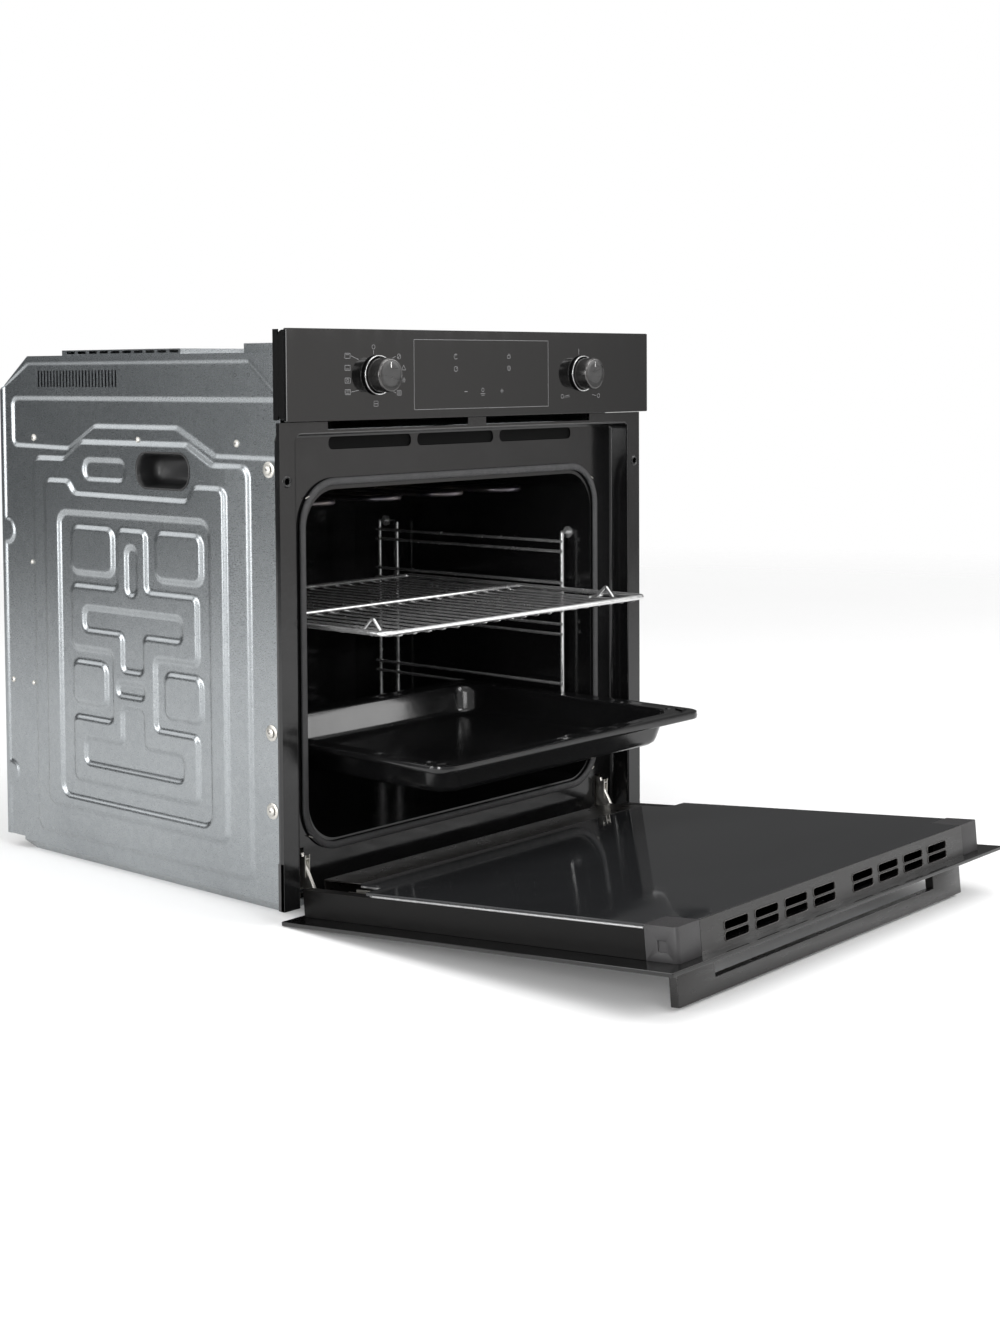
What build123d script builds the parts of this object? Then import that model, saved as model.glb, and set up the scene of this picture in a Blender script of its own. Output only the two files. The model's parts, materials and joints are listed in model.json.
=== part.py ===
from build123d import *
import os
from math import cos, hypot, pi, sin

# Built-in wall oven, 595 mm front, drop-down door shown open, shelf and tray part pulled out.
# Layout frame while modelling: X to the right, Y back from the front face of the fascia glass,
# Z up from the lower edge of the front. save() moves it to the part frame, whose origin is the
# centre of the flat underside of the base pan.

# ---- driving dimensions, mm ----
FRONT_W = 595.0          # width of the front
FRONT_H = 595.0          # height of the front
FASCIA_H = 95.0          # height of the control fascia
GLASS_T = 4.0            # outer door glass and fascia glass
BODY_HALF_W = 270.2      # outer face of a side panel
BODY_BACK = 530.0        # outer face of the rear panel
BODY_BOTTOM = 1.0
BODY_TOP = 571.0
SHEET = 1.2              # galvanised and enamelled sheet
CHAMFER_Y = 55.0         # sloping rear top edge
CHAMFER_Z = 40.0
PAN_DROP = 14.0          # the base pan stands this far below the front
PAN_FRONT = 50.0
PAN_BACK = 500.0
PAN_CHAMFER = 10.0

RIM_Y = 12.4             # front plane of the enamelled frame
RECESS_Y = 41.0          # floor of the door recess
RECESS_HALF_W = 276.0
RECESS_TOP = 487.0
RIM_TOP = 491.0

CAVITY_HALF_W = 236.0
CAVITY_BOTTOM = 56.0
CAVITY_TOP = 427.0
CAVITY_BACK = 450.0
CAVITY_R = 42.0
CAVITY_Z = (CAVITY_BOTTOM + CAVITY_TOP) / 2

DOOR_BOTTOM = 1.0
DOOR_TOP = 497.0
DOOR_IN_Y = 36.0         # inner face of the closed door
DOOR_BOX_HALF_W = 271.0
DOOR_BOX_TOP = 484.5
PIVOT_Y = 16.8
PIVOT_Z = 3.5
DOOR_OPEN = 84.7         # degrees from closed to resting on the hinge stop

CAP_W = 34.0             # corner caps of the door
CAP_H = 36.0
RAIL_HALF_W = DOOR_BOX_HALF_W - CAP_W - 0.2
NOTCH_TOP = 98.0         # top of the inner glass's hinge notches
HANDLE_HALF_L = 254.5
HANDLE_LOW = 459.0
HANDLE_HIGH = 468.5
HANDLE_DEPTH = 40.0      # from the outer glass to the front of the bar
BAR_DEPTH = 15.0
POST_IN = 197.5          # inner face of a handle post

HINGE_X = 250.0
HINGE_T = 4.0
HINGE_SLOT = (6.0, 54.0)  # height range of the slot for a hinge arm
PIN_R = 3.0
CLIP_Y = 32.0
CLIP_Z = 29.0
CLIP_PIN_R = 1.5
RUN_FIT = 0.05           # radial clearance of a turning shaft

KNOB_X = 170.0
KNOB_Z = 547.0
KNOB_R = 18.0
BEZEL_R = 21.0
SHAFT_R = 3.0

RACK_X = 219.0           # slide wires
RACK_POST_X = 223.3
WIRE_R = 2.0
RACK_FRONT = 75.0
RACK_BACK = 389.0
LEVELS = (329.0, 278.0, 227.0, 153.5, 103.0)
LEVEL_GAP = 12.5         # from the lower to the upper wire of a level
SHELF_Z = 283.3
SHELF_FRONT = -56.0
SHELF_DEPTH = 388.0
SHELF_SIDE_X = 217.2
TRAY_Z = 155.9           # underside of the tray rim
TRAY_FRONT = -141.0
TRAY_DEPTH = 372.0
TRAY_HALF_W = 220.4
TRAY_PAN = 36.0

FAN_Z = CAVITY_Z
FAN_R = 74.0
FAN_SHAFT_R = 4.0
FAN_FRONT = 440.4        # front of the fan hub, just behind the cover
COVER_FRONT = 438.0      # front face of the fan cover
COVER_HALF_W = 120.0
COVER_LOW = 126.0
COVER_HIGH = 357.0
RING_Y = 444.5
RING_R = 92.0
RING_LEG_X = (-8.0, 8.0)
GRILL_Z = 408.0
GRILL_NEAR = 96.0
GRILL_FAR = 400.0
GRILL_LEG_X = (-182.0, 182.0)
BOTTOM_ELEMENT_Z = 50.0
ELEMENT_R = 3.2
LAMP_X = -165.0
LAMP_Z = 375.0
PROBE_X = 120.0
PROBE_Z = 396.0

BLOWER_Y = 375.0
BLOWER_Z = 525.0
BLOWER_HALF = 122.0
BLOWER_SHAFT_R = 3.0

VENT_PITCH = 6.0         # vent slots high on each side
VENT_COUNT = 25
VENT_FRONT = 311.0
SCREW_HOLES = ((59.0, 450.0), (59.0, 176.0), (59.0, 94.0), (469.0, 476.0), (111.0, 476.0), (515.0, 187.0))
SCREW_R = 1.8
SCREW_HOLE_R = 2.0
GRIP_Y = 227.5           # centre of a grip cup
GRIP_Z = 444.0
GRIP_L = 85.0
GRIP_H = 35.0
GRIP_R = 15.0
STEP_OUT = 2.2           # height of one pressed step of a side panel
STEP_R = 8.0
PLATEAU = ((466, 453), (407, 453), (373, 473), (188, 473), (146, 452), (90, 452), (90, 16), (466, 16))
INNER_PLATEAU = ((441, 428), (396, 428), (384, 414), (186, 412.5), (173, 428), (125, 428), (125, 51), (441, 51))
WELL = ((282, 228), (264, 328))          # centre and size of the sunk field, in Y and Z
PADS = ((353, 350, 76, 52), (201.5, 350, 77, 52), (360.5, 198, 61, 48), (196, 197.5, 62, 49))
FIGURE = ((307, 376), (257, 376), (257, 309), (171, 309), (171, 237), (243, 237), (243, 158), (172, 158),
          (172, 85), (391, 85), (391, 158), (318, 158), (318, 237), (392, 237), (392, 309), (307, 309))

HOOD_HALF_W = 262.0      # louvred hood on the top cover
HOOD_FRONT = 208.0
HOOD_BACK = 420.0
HOOD_H = 6.0
HOOD_SLOTS = 10
HOOD_PITCH = 20.5

GLAND_X = -200.0         # mains cable entry in the rear panel
GLAND_Z = 82.0
GLAND_R = 9.0
CORD_R = 5.0
CABINET_HOLE_X = 287.5   # screw holes of the front frame
CABINET_HOLE_Z = 440.0
CABINET_HOLE_R = 3.2

ORIGIN_Y = (PAN_FRONT + PAN_BACK) / 2
INNER_HALF_W = BODY_HALF_W - SHEET      # inner face of a side panel


# ---- shape helpers ----
def block(x0, x1, y0, y1, z0, z1):
    """Block between two corners."""
    size = Box(x1 - x0, y1 - y0, z1 - z0)
    return Pos((x0 + x1) / 2, (y0 + y1) / 2, (z0 + z1) / 2) * size


def slab(axis, centre, size, low, high, r=0.0):
    """Rounded rectangle across an axis, between two places on that axis."""
    if axis == "x":
        plane = Plane(origin=(low, *centre), x_dir=(0, 1, 0), z_dir=(1, 0, 0))
    elif axis == "y":
        plane = Plane(origin=(centre[0], high, centre[1]), x_dir=(1, 0, 0), z_dir=(0, -1, 0))
    else:
        plane = Plane(origin=(*centre, low), x_dir=(1, 0, 0), z_dir=(0, 0, 1))
    outline = RectangleRounded(*size, r) if r else Rectangle(*size)
    return extrude(plane * outline, amount=high - low)


def rod(p, q, r):
    """Round rod between two points."""
    start = Vector(*p)
    along = Vector(*q) - start
    return Part() + Solid.make_cylinder(r, along.length, Plane(origin=start, z_dir=along))


def profile_x(points, x0, x1):
    """Closed outline in (Y, Z), from x0 to x1."""
    plane = Plane(origin=(x0, 0, 0), x_dir=(0, 1, 0), z_dir=(1, 0, 0))
    return extrude(plane * make_face(Polyline(*points, close=True)), amount=x1 - x0)


def bent_rod(points, bend, r):
    """Round rod along straight runs joined by arcs of one bend radius."""
    path = FilletPolyline(*points, radius=bend)
    start = Plane(origin=path @ 0, z_dir=path % 0)
    return sweep(start * Circle(r), path=path)


def mirrored(shape):
    """The shape and its mirror image across the middle of the oven."""
    return shape + mirror(shape, about=Plane.YZ)


def joined(shapes):
    """All the shapes fused."""
    shapes = list(shapes)
    return shapes[0].fuse(*shapes[1:]) if len(shapes) > 1 else shapes[0]


def hollow_box(lo, hi, wall, open_side):
    """Sheet-metal box with one side open; open_side is the index of the open face."""
    outer = block(lo[0], hi[0], lo[1], hi[1], lo[2], hi[2])
    inner_lo = [v + wall for v in lo]
    inner_hi = [v - wall for v in hi]
    axis, end = divmod(open_side, 2)
    if end:
        inner_hi[axis] = hi[axis] + 1
    else:
        inner_lo[axis] = lo[axis] - 1
    return outer - block(inner_lo[0], inner_hi[0], inner_lo[1], inner_hi[1], inner_lo[2], inner_hi[2])


# ---- body shell ----


def side_outline():
    """Side of the body with its sloping rear top edge, as (Y, Z) points."""
    front = RECESS_Y + SHEET + 0.2
    return ((front, BODY_BOTTOM), (BODY_BACK, BODY_BOTTOM), (BODY_BACK, BODY_TOP - CHAMFER_Z),
            (BODY_BACK - CHAMFER_Y, BODY_TOP), (front, BODY_TOP))


def plate(points, low, high, inset=0.0):
    """Outline in (Y, Z) with rounded corners, drawn in by an inset, between two places on X."""
    face = make_face(Polyline(*points, close=True))
    face = fillet(face.vertices(), STEP_R)
    if inset:
        face = offset(face, -inset)
    plane = Plane(origin=(low, 0, 0), x_dir=(0, 1, 0), z_dir=(1, 0, 0))
    return extrude(plane * face, amount=high - low)


def side_panel():
    """Right-hand side panel: stepped pressing, vent slots, grip hole and screw holes."""
    first = BODY_HALF_W + STEP_OUT
    out = first + STEP_OUT
    panel = profile_x(side_outline(), INNER_HALF_W, BODY_HALF_W)
    panel += plate(PLATEAU, BODY_HALF_W - 0.1, first)
    panel += plate(INNER_PLATEAU, first - 0.1, out)
    panel -= plate(PLATEAU, INNER_HALF_W - 1, first - SHEET, SHEET)
    panel -= plate(INNER_PLATEAU, first - SHEET - 1, out - SHEET, SHEET)
    panel += slab("x", WELL[0], (WELL[1][0] + 2 * SHEET, WELL[1][1] + 2 * SHEET), first - SHEET, out - 0.1, 12)
    panel -= slab("x", WELL[0], WELL[1], first, out + 1, 11)
    panel += plate(FIGURE, first - 0.1, out)
    panel -= plate(FIGURE, first - SHEET - 1, out - SHEET, SHEET)
    for y, z, width, height in PADS:
        panel += slab("x", (y, z), (width, height), first - 0.1, out, STEP_R)
        panel -= slab("x", (y, z), (width - 2.4, height - 2.4), first - SHEET - 1, out - SHEET, STEP_R - SHEET)
    for i in range(VENT_COUNT):
        y = VENT_FRONT + VENT_PITCH * i
        panel -= slab("x", (y, 544.5), (2.6, 19), 200, out, 1.2)
    panel -= slab("x", (GRIP_Y, GRIP_Z), (GRIP_L + 0.4, GRIP_H + 0.4), 200, out, GRIP_R)
    for y, z in SCREW_HOLES:
        panel -= rod((200, y, z), (out + 1, y, z), SCREW_HOLE_R)
    return panel


def base_pan():
    """Pressed base tray with sloping lower edges and a flat underside."""
    def tub(inset):
        half = INNER_HALF_W - 0.4 - inset
        shape = block(-half, half, PAN_FRONT + inset, PAN_BACK - inset, -PAN_DROP + inset, 8)
        return chamfer(shape.faces().sort_by(Axis.Z)[0].edges(), PAN_CHAMFER)
    return tub(0) - tub(1.0)


def rear_sheet():
    """Rear panel with the sloping top edge, louvres and the cable hole."""
    t = SHEET
    top = BODY_TOP - CHAMFER_Z
    slope = hypot(CHAMFER_Y, CHAMFER_Z)
    dy = t * (slope - CHAMFER_Z) / CHAMFER_Y
    dz = t * (slope - CHAMFER_Y) / CHAMFER_Z
    outline = ((BODY_BACK, 10), (BODY_BACK, top), (BODY_BACK - CHAMFER_Y, BODY_TOP),
               (BODY_BACK - CHAMFER_Y, BODY_TOP - t), (BODY_BACK - CHAMFER_Y - dz + t, BODY_TOP - t),
               (BODY_BACK - t, top - dy), (BODY_BACK - t, 10))
    sheet = profile_x(outline, -INNER_HALF_W, INNER_HALF_W)
    for x in range(-150, 151, 50):
        for z in range(440, 501, 12):
            sheet -= slab("y", (x, z), (36, 4), 500, BODY_BACK + 1, 1.9)
    return sheet - rod((GLAND_X, 500, GLAND_Z), (GLAND_X, BODY_BACK + 1, GLAND_Z), GLAND_R + 0.2)


def cable_gland():
    """Screwed cable entry: flange outside, sleeve through the rear panel, free bore for the lead."""
    sleeve = rod((GLAND_X, BODY_BACK - 8, GLAND_Z), (GLAND_X, BODY_BACK + 3, GLAND_Z), GLAND_R)
    flange = rod((GLAND_X, BODY_BACK, GLAND_Z), (GLAND_X, BODY_BACK + 3, GLAND_Z), GLAND_R + 4)
    bore = rod((GLAND_X, BODY_BACK - 20, GLAND_Z), (GLAND_X, BODY_BACK + 9, GLAND_Z), CORD_R)
    return sleeve + flange - bore


def terminal_box():
    """Open-backed terminal box with its terminal strip."""
    x0 = GLAND_X - 32
    z0 = GLAND_Z - 22
    shell = hollow_box((x0, 492, z0), (x0 + 64, 521.5, z0 + 44), 2.0, 3)
    strip = block(x0 + 10, x0 + 54, 493, 504, z0 + 12, z0 + 26)
    return shell + strip


def top_sheet():
    """Top cover with the vent opening."""
    sheet = block(-INNER_HALF_W, INNER_HALF_W, RECESS_Y + SHEET + 0.2, BODY_BACK - CHAMFER_Y - 0.2,
                  BODY_TOP - SHEET, BODY_TOP)
    return sheet - block(-185, 185, 222, 398, 560, 580)


def vent_hood():
    """Raised hood over the vent opening, louvred on top and along both sides."""
    lo = (-HOOD_HALF_W, HOOD_FRONT, BODY_TOP)
    hi = (HOOD_HALF_W, HOOD_BACK, BODY_TOP + HOOD_H)
    hood = hollow_box(lo, hi, 1.0, 4)
    slots = []
    for i in range(HOOD_SLOTS):
        y = HOOD_FRONT + 11 + HOOD_PITCH * i
        slots.append(block(-HOOD_HALF_W - 5, HOOD_HALF_W + 5, y - 7.5, y + 7.5, BODY_TOP + 1.6, BODY_TOP + 4.6))
    for x in (-150, -50, 50, 150):
        for i in range(17):
            slots.append(slab("z", (x, 220 + 11.25 * i), (80, 4), BODY_TOP + 4.8, BODY_TOP + 9, 1.9))
    return hood - joined(slots)


def duct_plate():
    """Raised air-duct cover behind the fascia."""
    return hollow_box((-262, RECESS_Y + 4, BODY_TOP), (262, 105, BODY_TOP + 10), 1.0, 4)


def grip_cup():
    """Right-hand moulded finger cup for lifting the oven, with its outer rim."""
    centre = (GRIP_Y, GRIP_Z)
    face = BODY_HALF_W + STEP_OUT
    rim = slab("x", centre, (GRIP_L + 7, GRIP_H + 7), face, face + 1.4, GRIP_R + 3.4)
    cup = slab("x", centre, (GRIP_L, GRIP_H), BODY_HALF_W - 26, face + 0.5, GRIP_R - 0.2)
    inside = slab("x", centre, (GRIP_L - 3.6, GRIP_H - 3.6), BODY_HALF_W - 24.2, face + 3, GRIP_R - 2)
    return rim + cup - inside


def pan_head(y, z):
    """Pan-head screw in the right-hand side panel."""
    head = rod((BODY_HALF_W, y, z), (BODY_HALF_W + 1.8, y, z), 4.0)
    shank = rod((BODY_HALF_W - 7, y, z), (BODY_HALF_W + 0.5, y, z), SCREW_R)
    return head + shank


# ---- front frame and fascia ----


def front_frame():
    """Enamelled face frame: rim, door recess, cavity opening, air gaps and cabinet screw holes."""
    low = BODY_BOTTOM
    half = FRONT_W / 2
    rim_back = RIM_Y + SHEET
    bottom = -40.0

    def tall(half_w, top, y0, y1, r):
        return slab("y", (0, (bottom + top) / 2), (2 * half_w, top - bottom), y0, y1, r)

    rim = block(-half, half, RIM_Y, rim_back, low, FRONT_H - FASCIA_H - 0.6)
    for side in (-1, 1):
        x0, x1 = sorted((side * half, side * (half - SHEET)))
        rim += block(x0, x1, RIM_Y, RIM_Y + 5, low, FRONT_H - FASCIA_H - 0.6)
    shell = tall(RECESS_HALF_W + SHEET, RECESS_TOP + SHEET, RIM_Y, RECESS_Y + SHEET, 9.2)
    frame = rim + shell
    frame -= tall(RECESS_HALF_W, RECESS_TOP, 0, RECESS_Y, 8)
    frame -= slab("y", (0, CAVITY_Z), (2 * CAVITY_HALF_W, CAVITY_TOP - CAVITY_BOTTOM), 20, 60, CAVITY_R)
    frame -= block(-300, 300, 0, 60, bottom - 1, low)
    for x0, x1 in ((-230, -15), (15, 200)):
        frame -= block(x0, x1, 0, 20, RIM_TOP, 510)
    for x, width in ((-139.5, 125), (-4, 126), (134.5, 129)):
        frame -= slab("y", (x, 475.8), (width, 13.6), 30, 60, 6)
    for side in (-1, 1):
        frame -= slab("y", (side * HINGE_X, sum(HINGE_SLOT) / 2), (12, HINGE_SLOT[1] - HINGE_SLOT[0]), 30, 60)
        frame -= rod((side * CABINET_HOLE_X, 0, CABINET_HOLE_Z), (side * CABINET_HOLE_X, 20, CABINET_HOLE_Z),
                     CABINET_HOLE_R)
    return frame


def crossmember():
    """Sheet behind the fascia, with windows for the two switches and the display."""
    back = RECESS_Y + SHEET + 0.2
    sheet = block(-INNER_HALF_W + 0.2, INNER_HALF_W - 0.2, back, back + SHEET, 508, BODY_TOP - SHEET - 0.2)
    for side in (-1, 1):
        sheet -= block(side * KNOB_X - 20, side * KNOB_X + 20, 30, 60, KNOB_Z - 20, KNOB_Z + 20)
    return sheet - block(-100, 100, 30, 60, 520, 560)


def fascia_glass():
    """Printed fascia glass with the two holes for the push-in knobs."""
    glass = slab("y", (0, FRONT_H - FASCIA_H / 2), (FRONT_W, FASCIA_H - 0.4), 0, 5, 1.5)
    for side in (-1, 1):
        glass -= rod((side * KNOB_X, -1, KNOB_Z), (side * KNOB_X, 6, KNOB_Z), BEZEL_R - 1.6)
    return glass


def fascia_chassis():
    """Moulded carrier bonded behind the fascia glass."""
    centre = (0, FRONT_H - FASCIA_H / 2)
    carrier = slab("y", centre, (FRONT_W - 5, FASCIA_H - 3), 5, 17, 7)
    carrier -= slab("y", centre, (FRONT_W - 9, FASCIA_H - 7), 7, 18, 5)
    carrier -= block(-108, 104, 0, 18, 513, 581)
    for side in (-1, 1):
        carrier -= rod((side * KNOB_X, 0, KNOB_Z), (side * KNOB_X, 9, KNOB_Z), BEZEL_R - 1.4)
    return carrier


def display_module():
    """Display and touch-key board in its frame."""
    frame = block(-107, 103, 5.2, 16, 514, 580)
    frame += block(-80, 80, 15.5, 24, 525, 568)
    return frame - block(-50, 46, 4, 7, 530, 565)


def knob_bezel():
    """Right-hand chrome bezel with the sleeve that the knob slides in."""
    ring = rod((KNOB_X, -1.6, KNOB_Z), (KNOB_X, 0, KNOB_Z), BEZEL_R)
    sleeve = rod((KNOB_X, -1.0, KNOB_Z), (KNOB_X, 26.8, KNOB_Z), KNOB_R + 1.3)
    hole = rod((KNOB_X, -3, KNOB_Z), (KNOB_X, 30, KNOB_Z), KNOB_R + 0.4)
    return ring + sleeve - hole


def switch(x):
    """Rotary switch body with the bore for its shaft."""
    body = block(x - 18, x + 18, 27, 46, KNOB_Z - 18, KNOB_Z + 18)
    body += rod((x, 45, KNOB_Z), (x, 52, KNOB_Z), 12)
    return body - rod((x, 26, KNOB_Z), (x, 37, KNOB_Z), SHAFT_R + RUN_FIT)


def shaft(x):
    """Switch shaft."""
    return chamfer(rod((x, 0, KNOB_Z), (x, 36, KNOB_Z), SHAFT_R).edges().sort_by(Axis.Y)[0], 0.6)


def knob(x):
    """Push-in knob in its popped-out place, with the blind bore for the shaft."""
    body = rod((x, -21, KNOB_Z), (x, 8, KNOB_Z), KNOB_R)
    body = chamfer(body.edges().sort_by(Axis.Y)[0], 1.0)
    body -= block(x - 0.8, x + 0.8, -22, -20.2, KNOB_Z + 4, KNOB_Z + 20)
    return body - rod((x, -19, KNOB_Z), (x, 9, KNOB_Z), SHAFT_R + RUN_FIT)


# ---- cavity ----
def back_liner():
    """Rear cavity wall with its service holes."""
    wall = block(-CAVITY_HALF_W, CAVITY_HALF_W, CAVITY_BACK, CAVITY_BACK + SHEET, CAVITY_BOTTOM, CAVITY_TOP)
    wall -= rod((0, 440, FAN_Z), (0, 460, FAN_Z), 8)
    wall -= rod((LAMP_X, 440, LAMP_Z), (LAMP_X, 460, LAMP_Z), 24.5)
    wall -= rod((PROBE_X, 440, PROBE_Z), (PROBE_X, 460, PROBE_Z), 3.6)
    for x in RING_LEG_X:
        wall -= rod((x, 440, FAN_Z - RING_R), (x, 460, FAN_Z - RING_R), 4)
    for x in GRILL_LEG_X:
        wall -= rod((x, 440, GRILL_Z), (x, 460, GRILL_Z), 4)
    return wall


def insulation():
    """Glass-wool blanket round the sides, top, bottom and back of the cavity."""
    wool = block(-262, 262, 92, 490, 26, 460)
    wool -= block(-CAVITY_HALF_W - 1.4, CAVITY_HALF_W + 1.4, 40, CAVITY_BACK + 1.4,
                  CAVITY_BOTTOM - 1.4, CAVITY_TOP + 1.4)
    wool -= block(-215, 215, 100, 452, BOTTOM_ELEMENT_Z - 4, CAVITY_BOTTOM)
    wool -= rod((0, 440, FAN_Z), (0, 500, FAN_Z), 36)
    wool -= rod((LAMP_X, 440, LAMP_Z), (LAMP_X, 500, LAMP_Z), 28)
    wool -= rod((PROBE_X, 440, PROBE_Z), (PROBE_X, 500, PROBE_Z), 6)
    wool -= block(-14, 14, 440, 500, FAN_Z - RING_R - 6, FAN_Z - RING_R + 6)
    for x in GRILL_LEG_X:
        wool -= block(x - 8, x + 8, 440, 500, GRILL_Z - 6, GRILL_Z + 6)
    cup = block(BODY_HALF_W - 28, 280, GRIP_Y - 48, GRIP_Y + 48, GRIP_Z - 22, 500)
    for part in (cup, mirror(cup, about=Plane.YZ)):
        wool -= part
    return wool


def fan_cover():
    """Pressed cover in front of the fan, with a round intake grille and side outlets."""
    lo = (-COVER_HALF_W, COVER_FRONT, COVER_LOW)
    hi = (COVER_HALF_W, CAVITY_BACK, COVER_HIGH)
    cover = hollow_box(lo, hi, SHEET, 3)
    near = COVER_FRONT - 3
    far = COVER_FRONT + 3
    cuts = [rod((0, near, FAN_Z), (0, far, FAN_Z), 10)]
    for ring, count in ((22, 8), (36, 14), (50, 20)):
        for i in range(count):
            a = 2 * pi * i / count
            x = ring * cos(a)
            z = FAN_Z + ring * sin(a)
            cuts.append(rod((x, near, z), (x, far, z), 4.2))
    for z in range(150, 340, 16):
        cuts.append(block(-COVER_HALF_W - 10, COVER_HALF_W + 10, 441, 447, z, z + 8))
    return cover - joined(cuts)


def ring_element():
    """Ring heater round the fan with its two legs through the rear wall."""
    ring = Pos(0, RING_Y, FAN_Z) * Rot(90, 0, 0) * Torus(RING_R, ELEMENT_R)
    for x in RING_LEG_X:
        ring += rod((x, RING_Y, FAN_Z - RING_R), (x, 472, FAN_Z - RING_R), ELEMENT_R)
    return ring


def grill_element():
    """Grill heater in loops under the ceiling, with its two legs through the rear wall."""
    x = GRILL_LEG_X[1]
    step = x / 3.5
    points = [(x, 474, GRILL_Z), (x, GRILL_NEAR, GRILL_Z)]
    for ends in ((GRILL_NEAR, GRILL_FAR), (GRILL_FAR, GRILL_NEAR), (GRILL_NEAR, GRILL_FAR)):
        x -= step
        points += [(x, ends[0], GRILL_Z), (x, ends[1], GRILL_Z)]
    points.append((0, GRILL_FAR, GRILL_Z))
    return mirrored(bent_rod(points, step / 2 - 1, ELEMENT_R))


def bottom_element():
    """Base heater under the cavity floor."""
    z = BOTTOM_ELEMENT_Z
    points = [(-24, 480, z), (-24, 420, z), (-180, 420, z), (-180, 120, z), (180, 120, z), (180, 420, z),
              (24, 420, z), (24, 480, z)]
    return bent_rod([(x, min(y, 450), zz) for x, y, zz in points], 20, ELEMENT_R)


def rack():
    """Right-hand shelf rack: three posts, five pairs of slide wires and four wall mounts."""
    posts = (RACK_FRONT, RACK_BACK - 32, RACK_BACK)
    wires = [rod((RACK_POST_X, y, 92), (RACK_POST_X, y, 352), 2.5) for y in posts]
    for level in LEVELS:
        for z in (level, level + LEVEL_GAP):
            wires.append(rod((RACK_X, RACK_FRONT - 3, z), (RACK_X, RACK_BACK + 3, z), WIRE_R))
    for y in (RACK_FRONT, RACK_BACK):
        for z in (92, 352):
            wires.append(rod((RACK_POST_X, y, z), (CAVITY_HALF_W, y, z), 2.6))
            wires.append(rod((CAVITY_HALF_W - 2, y, z), (CAVITY_HALF_W, y, z), 7))
    for y in (RACK_FRONT, RACK_BACK - 32, RACK_BACK):
        for level in LEVELS:
            for z in (level, level + LEVEL_GAP):
                wires.append(rod((RACK_X, y, z), (RACK_POST_X, y, z), 1.4))
    return joined(wires)


def wire_shelf():
    """Chromed shelf: round frame, cross bars, lengthwise wires and two stop bumps."""
    x = SHELF_SIDE_X
    y0 = SHELF_FRONT
    y1 = SHELF_FRONT + SHELF_DEPTH
    z = SHELF_Z
    half = bent_rod([(0, y0, z), (-x, y0, z), (-x, y1, z), (0, y1, z)], 8, 3.0)
    parts = [half, mirror(half, about=Plane.YZ)]
    parts.append(rod((-x, y0 + SHELF_DEPTH / 2, z), (x, y0 + SHELF_DEPTH / 2, z), 2.6))
    count = 19
    for i in range(count):
        wx = -x + 2 * x * (i + 1) / (count + 1)
        parts.append(rod((wx, y0 - 1, z + 0.6), (wx, y1 + 1, z + 0.6), 1.5))
    for side in (-1, 1):
        bx = side * 193.6
        run = [(bx, y0 + 27, z), (bx, y0 + 40.5, z + 11), (bx, y0 + 59, z)]
        parts.append(bent_rod(run, 5, 1.8))
    for i in (0, 1):
        wx = -x + 2 * x * (1 if i == 0 else count) / (count + 1)
        parts.append(rod((-193.6 if i == 0 else 193.6, y0 + 28, z), (wx, y0 + 28, z), 1.5))
    return joined(parts)


def baking_tray():
    """Deep enamelled tray: flat rim with a turned-down front lip, drafted pan, rounded corners."""
    y0 = TRAY_FRONT
    y1 = TRAY_FRONT + TRAY_DEPTH
    mid = (0, (y0 + y1) / 2)
    z = TRAY_Z
    sheet = 1.2
    rim_w = 26.0
    rim = slab("z", mid, (2 * TRAY_HALF_W, TRAY_DEPTH), z, z + sheet, 22)
    lip = slab("z", mid, (2 * TRAY_HALF_W, TRAY_DEPTH), z - 7, z + sheet, 22)
    lip -= slab("z", mid, (2 * TRAY_HALF_W - 2 * sheet, TRAY_DEPTH - 2 * sheet), z - 8, z, 20.8)
    lip -= block(-300, 300, y0 + 14, y1 + 10, z - 10, z)
    outer = (2 * (TRAY_HALF_W - rim_w), TRAY_DEPTH - 2 * rim_w)
    draft = 12.0

    def well(inset, top, bottom):
        upper = Plane(origin=(*mid, top)) * RectangleRounded(outer[0] - inset, outer[1] - inset, 30)
        size = (outer[0] - 2 * draft - inset, outer[1] - 2 * draft - inset)
        lower = Plane(origin=(*mid, bottom)) * RectangleRounded(*size, 24)
        return loft([lower, upper])

    tray = rim + lip + well(0, z, z - TRAY_PAN)
    return tray - well(2 * sheet, z + sheet, z - TRAY_PAN + sheet)


def gasket():
    """Hollow-section door seal on the recess floor, with the shape of its run only."""
    low = 45.0
    high = 439.5
    centre = (0, (low + high) / 2)
    y0 = DOOR_IN_Y + 0.4
    ring = slab("y", centre, (494, high - low), y0, RECESS_Y, 50)
    return ring - slab("y", centre, (477, high - low - 17), y0 - 1, RECESS_Y + 1, 42)


# ---- air movers, lamp and probe ----
def convection_fan():
    """Fan wheel with eight blades on its shaft."""
    hub = rod((0, FAN_FRONT, FAN_Z), (0, FAN_FRONT + 7, FAN_Z), 12)
    disc = rod((0, FAN_FRONT + 6, FAN_Z), (0, FAN_FRONT + 7.2, FAN_Z), FAN_R)
    shaft_part = rod((0, FAN_FRONT, FAN_Z), (0, 506, FAN_Z), FAN_SHAFT_R)
    parts = [hub, disc, shaft_part]
    for i in range(8):
        blade = block(20, FAN_R - 2, FAN_FRONT, FAN_FRONT + 6.4, -0.6, 0.6)
        parts.append(Pos(0, 0, FAN_Z) * Rot(0, 45 * i, 0) * blade)
    return joined(parts)


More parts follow.
